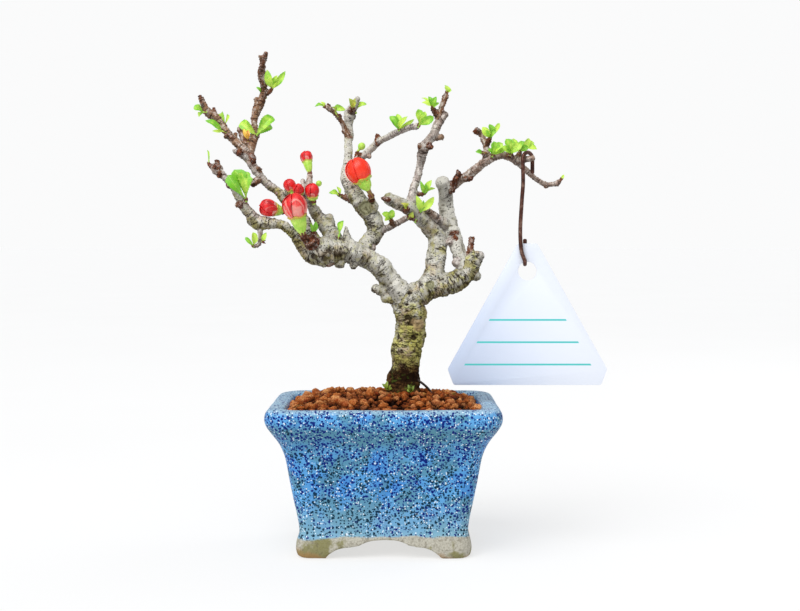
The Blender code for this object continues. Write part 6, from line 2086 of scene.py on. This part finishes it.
@dataclass
class FlowerBud:
    """A closed flower bud: five petals wound over each other, in a calyx on its stalk."""

    name: str
    foot: Place
    centre: Place
    radius: float
    calyx_radius: float
    surface: BVHTree
    stalk: float = 0.0
    grip: float = 0.16
    petals: int = 5
    steps: int = 16
    across_steps: int = 12
    thick: float = 0.4
    egg: float = 1.12
    half_angle: float = 1.02
    overlap: float = 0.15
    innermost: float = 0.87
    winding: float = 0.75
    # Where the petals start and how far they reach, as shares of the half circle over the ball.
    first: float = 0.1
    cover: float = 0.86
    ribs: float = 0.035
    # The ball inside the petals: heights on the axis and radii, as shares of the bud's radius.
    heart: tuple[tuple[float, float], ...] = ((-0.7, 0.5), (0.0, 0.82), (0.62, 0.4))
    # The calyx's radius at its foot, the stalk's end, the shoulder and the base, as shares of the widest.
    cup: tuple[float, float, float, float] = (0.36, 0.38, 0.74, 0.98)
    shoulder: float = 0.4
    sides: int = 30
    scales: int = 5
    # The lobes: rings on them, the share of the length below them and how far they stand off the petals.
    lobe_rings: int = 4
    below_lobes: float = 0.85
    off_petals: float = 0.28

    def __post_init__(self) -> None:
        """Finds the bud's axis."""
        self.start, self.ball = seen(*self.foot), seen(*self.centre)
        self.axis = (self.ball - self.start).normalized()
        self.side = self.axis.orthogonal().normalized()
        self.other = self.axis.cross(self.side)

    def _out(self, turn: float) -> Vector:
        """The direction away from the axis at a turn about it."""
        return outward(self.side, self.other, turn)

    def build_petals(self, finish: Material) -> Object:
        """Makes the ball of petals.

        Args:
            finish: the petals' material.

        Returns:
            The petals.
        """
        shell = Shell()
        radius = self.radius * MM
        for k in range(self.petals):
            middle = 2 * pi * k / self.petals
            rings, ways = [], []
            for i in range(self.steps + 1):
                v = i / self.steps
                polar = pi * (self.first + self.cover * v)
                half = self.half_angle * (0.72 + 0.28 * sin(pi * min(v * 1.1, 1.0)))
                outer, inner, carried = [], [], []
                for j in range(self.across_steps + 1):
                    u = 2 * j / self.across_steps - 1
                    turn = middle + u * half + self.winding * v * v
                    lap = self.innermost + self.overlap * (u + 1) / 2 - 0.05 * max(abs(u) - 0.75, 0) * v
                    size = radius * lap * sin(polar) / (1 + 0.1 * cos(polar))
                    height = -radius * lap * self.egg * cos(polar)
                    place = self.ball + self.axis * height + self._out(turn) * size
                    inward = (self.ball - place).normalized() * (self.thick * MM)
                    outer.append(place)
                    inner.append(place + inward)
                    carried.append((u, v, k / self.petals))
                rings.append(outer + inner[::-1])
                ways.append(carried + carried[::-1])
            shell.loft(rings, ways)
        heart = [(*(self.ball + self.axis * radius * h), radius * r) for h, r in self.heart]
        Tube(smooth_route(heart, 1.0), 14).into(shell)
        name = f"petals_{self.name}"
        piece = show(name, shell.mesh(name), finish, sharp=75)
        return settle(piece, "petal_red", f"bud_{self.name}_petals")

    def _lobes(
        self, rings: list[list[Vector]], ways: list[list[Place]], reach: float, top: float
    ) -> None:
        """Adds the lobes that grip the petals to the calyx's rings.

        Args:
            rings: the calyx's rings so far.
            ways: what their points carry for the material.
            reach: metres from the bud's foot to the ball's middle.
            top: metres from the bud's foot to the foot of the lobes.
        """
        radius, wide, below = self.radius * MM, self.calyx_radius * MM, self.below_lobes
        for step in range(1, self.lobe_rings + 1):
            rim, carried = [], []
            blend = step / self.lobe_rings
            for t in turns(self.sides):
                lobe = 0.5 + 0.5 * cos(self.petals * t + 0.4)
                polar = acos(0.8) + (0.12 + self.grip * lobe) * blend
                size = (radius * sin(polar) + self.off_petals * MM) * 1.02
                size = wide + (max(size, wide) - wide) * blend
                height = reach - radius * self.egg * cos(polar)
                rim.append(self.start + self.axis * (top + (height - top) * blend) + self._out(t) * size)
                carried.append((cos(t), below + (1 - below) * blend, -1))
            rings.append(rim)
            ways.append(carried)
        rings.append([point.lerp(self.ball, 0.12) for point in rings[-1]])
        ways.append(ways[-1])

    def _scales(self, shell: Shell, back: float) -> None:
        """Sets brown scales round the stalk, whose foot lies back metres behind the bud's start.

        Args:
            shell: the calyx so far.
            back: those metres.
        """
        draw = random.Random(self.name)
        for k in range(self.scales):
            out = self._out(2 * pi * (k + draw.uniform(-0.2, 0.2)) / self.scales)
            foot = self.start - self.axis * back * 0.6 + out * (self.calyx_radius * MM) * 0.32
            tip = foot + self.axis * (draw.uniform(1.2, 2.0) * MM) + out * (0.35 * MM)
            spike(shell, foot, tip, CALYX_SCALE)

    def build_calyx(self, finish: Material, scale: Material) -> Object:
        """Makes the calyx: a cup with five lobes, on a stalk with scales at its foot.

        Args:
            finish: the calyx's material.
            scale: the scales' material.

        Returns:
            The calyx.
        """
        radius, wide = self.radius * MM, self.calyx_radius * MM
        reach = (self.ball - self.start).length
        base = reach - radius * self.egg
        top = base + 0.2 * radius
        hit = self.surface.ray_cast(self.start + self.axis * MM, -self.axis, LOOK_BACK * MM)[0]
        back = (self.start - hit).length + SUNK * MM if hit else 2 * MM
        belly = self.stalk * base
        heights = (-back, belly, belly + self.shoulder * (base - belly), base, top)
        profile = [(height, 0, 0, share * wide) for height, share in zip(heights, (*self.cup, 1))]
        below = self.below_lobes
        stalk_ends = below * (belly + back) / (top + back) if self.stalk else -1
        rings, ways = [], []
        round_about = turns(self.sides)
        for place, size in smooth_route(profile, 0.8):
            height = place.x
            rib = self.ribs * max(height / max(base, MM), 0)
            middle = self.start + self.axis * height
            rings.append([middle + self._out(t) * size * (1 + rib * cos(5 * t)) for t in round_about])
            y = max(0.0, min(below, (height + back) / (top + back) * below))
            ways.append([(cos(t), y, stalk_ends) for t in round_about])
        self._lobes(rings, ways, reach, top)
        shell = Shell()
        shell.loft(rings, ways)
        self._scales(shell, back)
        name = f"calyx_{self.name}"
        piece = show(name, shell.mesh(name), finish, scale, sharp=60)
        return settle(piece, "sepal_green", f"bud_{self.name}_calyx")


GREEN_RINGS, GREEN_SIDES = 14, 30  # the steps of a green bud's ball along and about its axis


def build_green_bud(
    name: str, foot: Place, centre: Place, radius: float, surface: BVHTree, finish: Material
) -> Object:
    """A bud that is still a green ball, closed by five sepals.

    Args:
        name: which bud.
        foot: where its stalk starts.
        centre: the ball's middle.
        radius: the ball's radius in millimetres.
        surface: the bark.
        finish: its material.

    Returns:
        The bud.
    """
    start, ball = seen(*foot), seen(*centre)
    axis = (ball - start).normalized()
    side = axis.orthogonal().normalized()
    hit = surface.ray_cast(start, -axis, 5 * MM)[0]
    shell = Shell()
    stalk = [(*((hit or start) - axis * 0.4 * MM), 0.62 * MM), (*ball, 0.7 * MM)]
    Tube(smooth_route(stalk, 0.8), 9).into(shell, 0, 0.3)
    rings, ways = [], []
    for i in range(GREEN_RINGS + 1):
        v = i / GREEN_RINGS
        polar = pi * (0.04 + 0.92 * v)
        middle = ball - axis * (radius * 1.05 * MM * cos(polar))
        ring = []
        for turn in turns(GREEN_SIDES):
            seam = 1 - 0.07 * (1 - abs(sin(2.5 * turn + 0.6 * v))) ** 3
            reach = radius * MM * sin(polar) * seam
            ring.append(middle + outward(side, axis.cross(side), turn) * reach)
        rings.append(ring)
        ways.append([(cos(turn), 0.2 + 0.78 * v, -1) for turn in turns(GREEN_SIDES)])
    shell.loft(rings, ways)
    piece = show(f"green_bud_{name}", shell.mesh(name), finish, sharp=60)
    return settle(piece, "sepal_green", f"bud_{name}_green")


@dataclass
class Tag:
    """The plain plastic tag with its hook of wire."""

    across: float = 63.7
    depth: float = -8.0
    thick: float = 1.0
    outline: tuple[tuple[float, float], ...] = ((4.8, 150.2), (39.4, 88.2), (36.4, 80.4))
    rounding: float = 1.1
    eased: float = 0.16
    hole_up: float = 136.6
    hole: float = 4.6
    wire: float = 1.0
    gap: float = 0.3
    standoff: float = 1.9
    loop: tuple[Place, Place] = ((61.4, 192.1, -11.6), (66.2, 192.1, -5.8))
    crown: float = 3.6
    end: tuple[float, float] = (6.4, 3.0)
    # The shank's height, how far it lies aside of the hole and how far before the plate.
    shank: tuple[Place, ...] = ((180, -0.9, 0.7), (171, -1.5, 0.5), (157, -2.2, 0), (147, -1.7, 0))
    aside: float = 1.5
    behind: float = 152.0
    beside: float = 0.45

    def build_plate(self, finish: Material) -> Object:
        """Makes the plate with rounded corners, a round hole and eased edges.

        Args:
            finish: the sheet's material.

        Returns:
            The plate.
        """
        centre = seen(self.across, 0, self.depth).x / MM
        right = [(centre + out, up) for out, up in self.outline]
        left = [(centre - out, up) for out, up in reversed(self.outline)]
        plate = solid("plate", [
            [Vector((x, self.depth + side * self.thick / 2, z)) * MM
             for x, z in self._rounded(right + left, self.rounding)]
            for side in (1, -1)
        ])
        middle = Vector((centre, self.depth, self.hole_up))
        cutter = solid("cutter", [
            [(middle + AXIS_Y * side + outward(AXIS_X, AXIS_Z, t) * self.hole) * MM for t in turns(48)]
            for side in (2, -2)
        ])
        cut = plate.modifiers.new("hole", "BOOLEAN")
        cut.solver = "EXACT"
        cut.object = cutter
        ease = plate.modifiers.new("ease", "BEVEL")
        ease.width = self.eased * MM
        ease.segments = 2
        ease.limit_method = "ANGLE"
        ease.angle_limit = radians(50)
        data = evaluated(plate)
        bpy.data.objects.remove(cutter)
        return settle(show("tag_plate", data, finish, sharp=40), "white_plastic", "tag")

    @staticmethod
    def _rounded(corners: Sequence[tuple[float, float]], radius: float) -> list[tuple[float, float]]:
        """An outline with each corner eased by a short curve."""
        points = []
        for i, corner in enumerate(corners):
            here = Vector(corner)
            a, b = (here + (Vector(other) - here).normalized() * radius
                    for other in (corners[i - 1], corners[(i + 1) % len(corners)]))
            for step in range(5):
                t = step / 4
                points.append(tuple(a.lerp(here, t).lerp(here.lerp(b, t), t)))
        return points

    def build_hook(self, finish: Material) -> Object:
        """Makes the wire: a loop over its stub, a long shank, and a bend through the hole.

        Args:
            finish: the wire's material.

        Returns:
            The hook.
        """
        left, right = (seen(*point) for point in self.loop)
        middle, half = (left + right) / 2, (right - left) / 2
        route = [right - AXIS_Z * (drop * MM) for drop in self.end]
        half_turn = turns(16)[:9]
        route += [middle + half * cos(t) + AXIS_Z * (self.crown * MM * sin(t)) for t in half_turn]
        hang = seen(self.across - self.aside, 0, self.depth).x / MM
        top = self.hole_up + self.hole - self.gap - self.wire
        route += [Vector((hang + aside, self.depth - self.standoff - ahead, height)) * MM
                  for height, aside, ahead in self.shank]
        for t in half_turn:
            route.append(Vector((hang + 0.5 * t / pi, self.depth - self.standoff * cos(t),
                                 top + self.standoff * (1 - sin(t)))) * MM)
        route.append(Vector((hang + self.beside, self.depth + self.standoff, self.behind)) * MM)
        data = wire("hook", route, self.wire, 16, 20)
        return settle(show("hook_of_wire", data, finish, sharp=60), "brown_wire", "tag_hook")


@dataclass
class TieWire:
    """The wire that ties the trunk down, through the soil and out of a drain hole."""

    radius: float = 0.6
    route: tuple[Place, ...] = (
        (8.2, -2.8, 82.6), (12, -3.8, 80), (15.2, -3.8, 76.4), (17.2, -3.2, 70), (15.6, -1.2, 50),
        (10.6, -0.2, 30), (9.2, 0, 20), (9.2, 0, 11.5), (10.2, 0, 8.4), (13, 0.2, 7.4), (17.5, 0.4, 7.4),
    )

    def build(self, finish: Material) -> Object:
        """Makes the wire.

        Args:
            finish: its material.

        Returns:
            The wire.
        """
        data = wire("tie", [Vector(place) * MM for place in self.route], self.radius, 12, 12)
        return settle(show("tie_of_wire", data, finish, sharp=60), "brown_wire", "tie_wire")


@dataclass
class Studio:
    """A pale floor, soft light and the camera where the photograph was taken."""

    eye: Place = (0.0, -EYE_BEFORE, EYE_ABOVE)
    lens: float = 55.8
    sensor: float = 36.0
    # The photograph's horizon lies above its middle. The camera is level, so the frame is shifted.
    shift: float = -0.0745
    floor_half: float = 60.0
    backdrop: Colour = (0.962, 0.964, 0.966)
    sky: Colour = (0.96, 0.98, 1.0)
    sky_strength: float = 0.5
    sun: float = 2.15
    sun_turn: tuple[float, float] = (34.0, -32.0)
    sun_size: float = 50.0
    # How high above the floor the lamps are aimed, in metres.
    aim_up: float = 0.12
    # Each lamp: where it stands (m), its size (m) and its power (W).
    lamps: tuple[tuple[Place, float, float], ...] = (
        ((-0.8, -1, 0.75), 0.6, 4), ((0.9, 0.5, 0.7), 0.5, 2),
    )

    def _sky(self) -> World:
        """A white backdrop that lights the scene more softly than it shows."""
        world = bpy.data.worlds.new("soft_sky")
        world.use_nodes = True
        tree = world.node_tree
        light = tree.nodes["Background"]
        light.inputs["Color"].default_value = (*self.sky, 1)
        light.inputs["Strength"].default_value = self.sky_strength
        shown = tree.nodes.new("ShaderNodeBackground")
        shown.inputs["Color"].default_value = (*self.backdrop, 1)
        path = tree.nodes.new("ShaderNodeLightPath")
        mixed = tree.nodes.new("ShaderNodeMixShader")
        for i, source in enumerate((path.outputs["Is Camera Ray"], light.outputs[0], shown.outputs[0])):
            tree.links.new(source, mixed.inputs[i])
        tree.links.new(mixed.outputs[0], tree.nodes["World Output"].inputs["Surface"])
        return world

    def _lamp(self, name: str, kind: str, power: float, place: Place) -> Object:
        """Puts a lamp into the scene, aimed at the object."""
        data = bpy.data.lights.new(name, kind)
        data.energy = power
        lamp = bpy.data.objects.new(name, data)
        lamp.location = place
        aim = Vector((0, 0, self.aim_up)) - Vector(place)
        lamp.rotation_euler = aim.to_track_quat("-Z", "Y").to_euler()
        bpy.context.scene.collection.objects.link(lamp)
        return lamp

    def build(self, finish: Material) -> None:
        """Sets the floor, the light and the camera.

        Args:
            finish: the floor's material.
        """
        data = bpy.data.meshes.new("floor")
        signs = ((-1, -1), (1, -1), (1, 1), (-1, 1))
        corners = [(x * self.floor_half, y * self.floor_half, 0) for x, y in signs]
        data.from_pydata(corners, [], [(0, 1, 2, 3)])
        floor = show("studio_ground", data, finish)
        floor.location.z = -0.02 * MM
        scene = bpy.context.scene
        scene.world = self._sky()
        scene.view_settings.view_transform = "Standard"
        tilt, turn = (radians(angle) for angle in self.sun_turn)
        flat = sin(tilt)
        place = (sin(turn) * flat, -cos(turn) * flat, self.aim_up + cos(tilt))
        sun = self._lamp("sun", "SUN", self.sun, place)
        sun.data.angle = radians(self.sun_size)
        for i, (place, size, power) in enumerate(self.lamps):
            self._lamp(f"lamp_{i}", "AREA", power, place).data.size = size
        camera = bpy.data.objects.new("front_camera", bpy.data.cameras.new("front_camera"))
        camera.location = Vector(self.eye) * MM
        camera.rotation_euler = (radians(90), 0, 0)
        camera.data.lens = self.lens
        camera.data.sensor_width = self.sensor
        camera.data.shift_y = self.shift
        camera.data.clip_start = 0.01
        scene.collection.objects.link(camera)
        scene.camera = camera


def dress_drains(finish: Material) -> None:
    """Gives the two drain meshes of the frame their plastic."""
    for name in ("drain_mesh_left", "drain_mesh_right"):
        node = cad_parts[name]
        node.data.materials.clear()
        node.data.materials.append(finish)
        LOG.info("%s: dressed", name)


def main() -> None:
    """Builds every piece in order."""
    logging.basicConfig(level=logging.INFO, format="%(name)s: %(message)s", stream=sys.stdout)
    Studio().build(StudioFloor().make())
    pot = Pot()
    pot.build(SpeckledGlaze().make())
    soil = Soil(pot)
    soil.build_base(Crumbs().make())
    fired = FiredGranules().make()
    soil.strew("soil_granules", soil.spacing, soil.granule, soil.fineness, fired)
    soil.strew("large_granules", soil.large_spacing, soil.large_granule, soil.large_fineness, fired)
    tree = Tree()
    tree.build(Bark().make())
    leaf, scale = LeafSkin().make(), BudScale().make()
    pale = LeafSkin("leaf_bud_skin", srgb(150, 172, 50), srgb(214, 214, 96), srgb(226, 226, 140)).make()
    gold = LeafSkin("gold_bud_skin", srgb(222, 128, 52), srgb(246, 206, 96), srgb(244, 222, 140)).make()
    for name, places in TUFTS.items():
        age = Age.BUD if name in YOUNG else Age.OPEN
        skin = leaf if age is Age.OPEN else gold if name == "fork_bud" else pale
        shape = OUTLINES.get(name, POINTED)
        Shoot(f"blades_{name}", f"leaves_{name}", places, age, tree.surface, shape).build(skin, scale)
    moss = LeafSkin("weed_skin", srgb(70, 92, 22), srgb(138, 158, 46), srgb(170, 180, 80)).make()
    for name, places in WEEDS.items():
        Shoot(f"herb_{name}", f"weed_{name}", places, Age.OPEN, tree.surface, scales=0).build(moss, scale)
    sepals = SepalSkin().make()
    scarlet = PetalSkin("petal_scarlet").make()
    orange = srgb(252, 56, 24), srgb(232, 34, 16), srgb(252, 120, 76)
    coats = {
        "middle": PetalSkin("petal_orange", *orange, 0.1, 0.1),
        "low_front": PetalSkin("petal_pink", blush=srgb(244, 158, 146), blush_to=0.6, bands=0.6),
        "low_left": PetalSkin("petal_striped", blush_to=0.4, bands=0.95),
    }
    for name, sizes in BUDS.items():
        bud = FlowerBud(name, *sizes, tree.surface, STALKS.get(name, 0))
        bud.build_petals(coats[name].make() if name in coats else scarlet)
        bud.build_calyx(sepals, scale)
    for name, sizes in GREEN_BUDS.items():
        build_green_bud(name, *sizes, tree.surface, sepals)
    tag = Tag()
    tag.build_plate(LabelSheet().make())
    tag.build_hook(BrownWire().make())
    dark = BrownWire("dark_wire_skin", srgb(40, 34, 34), srgb(66, 58, 56), srgb(104, 98, 96))
    TieWire().build(dark.make())
    dress_drains(DrainPlastic().make())


if __name__ == "__main__":
    main()
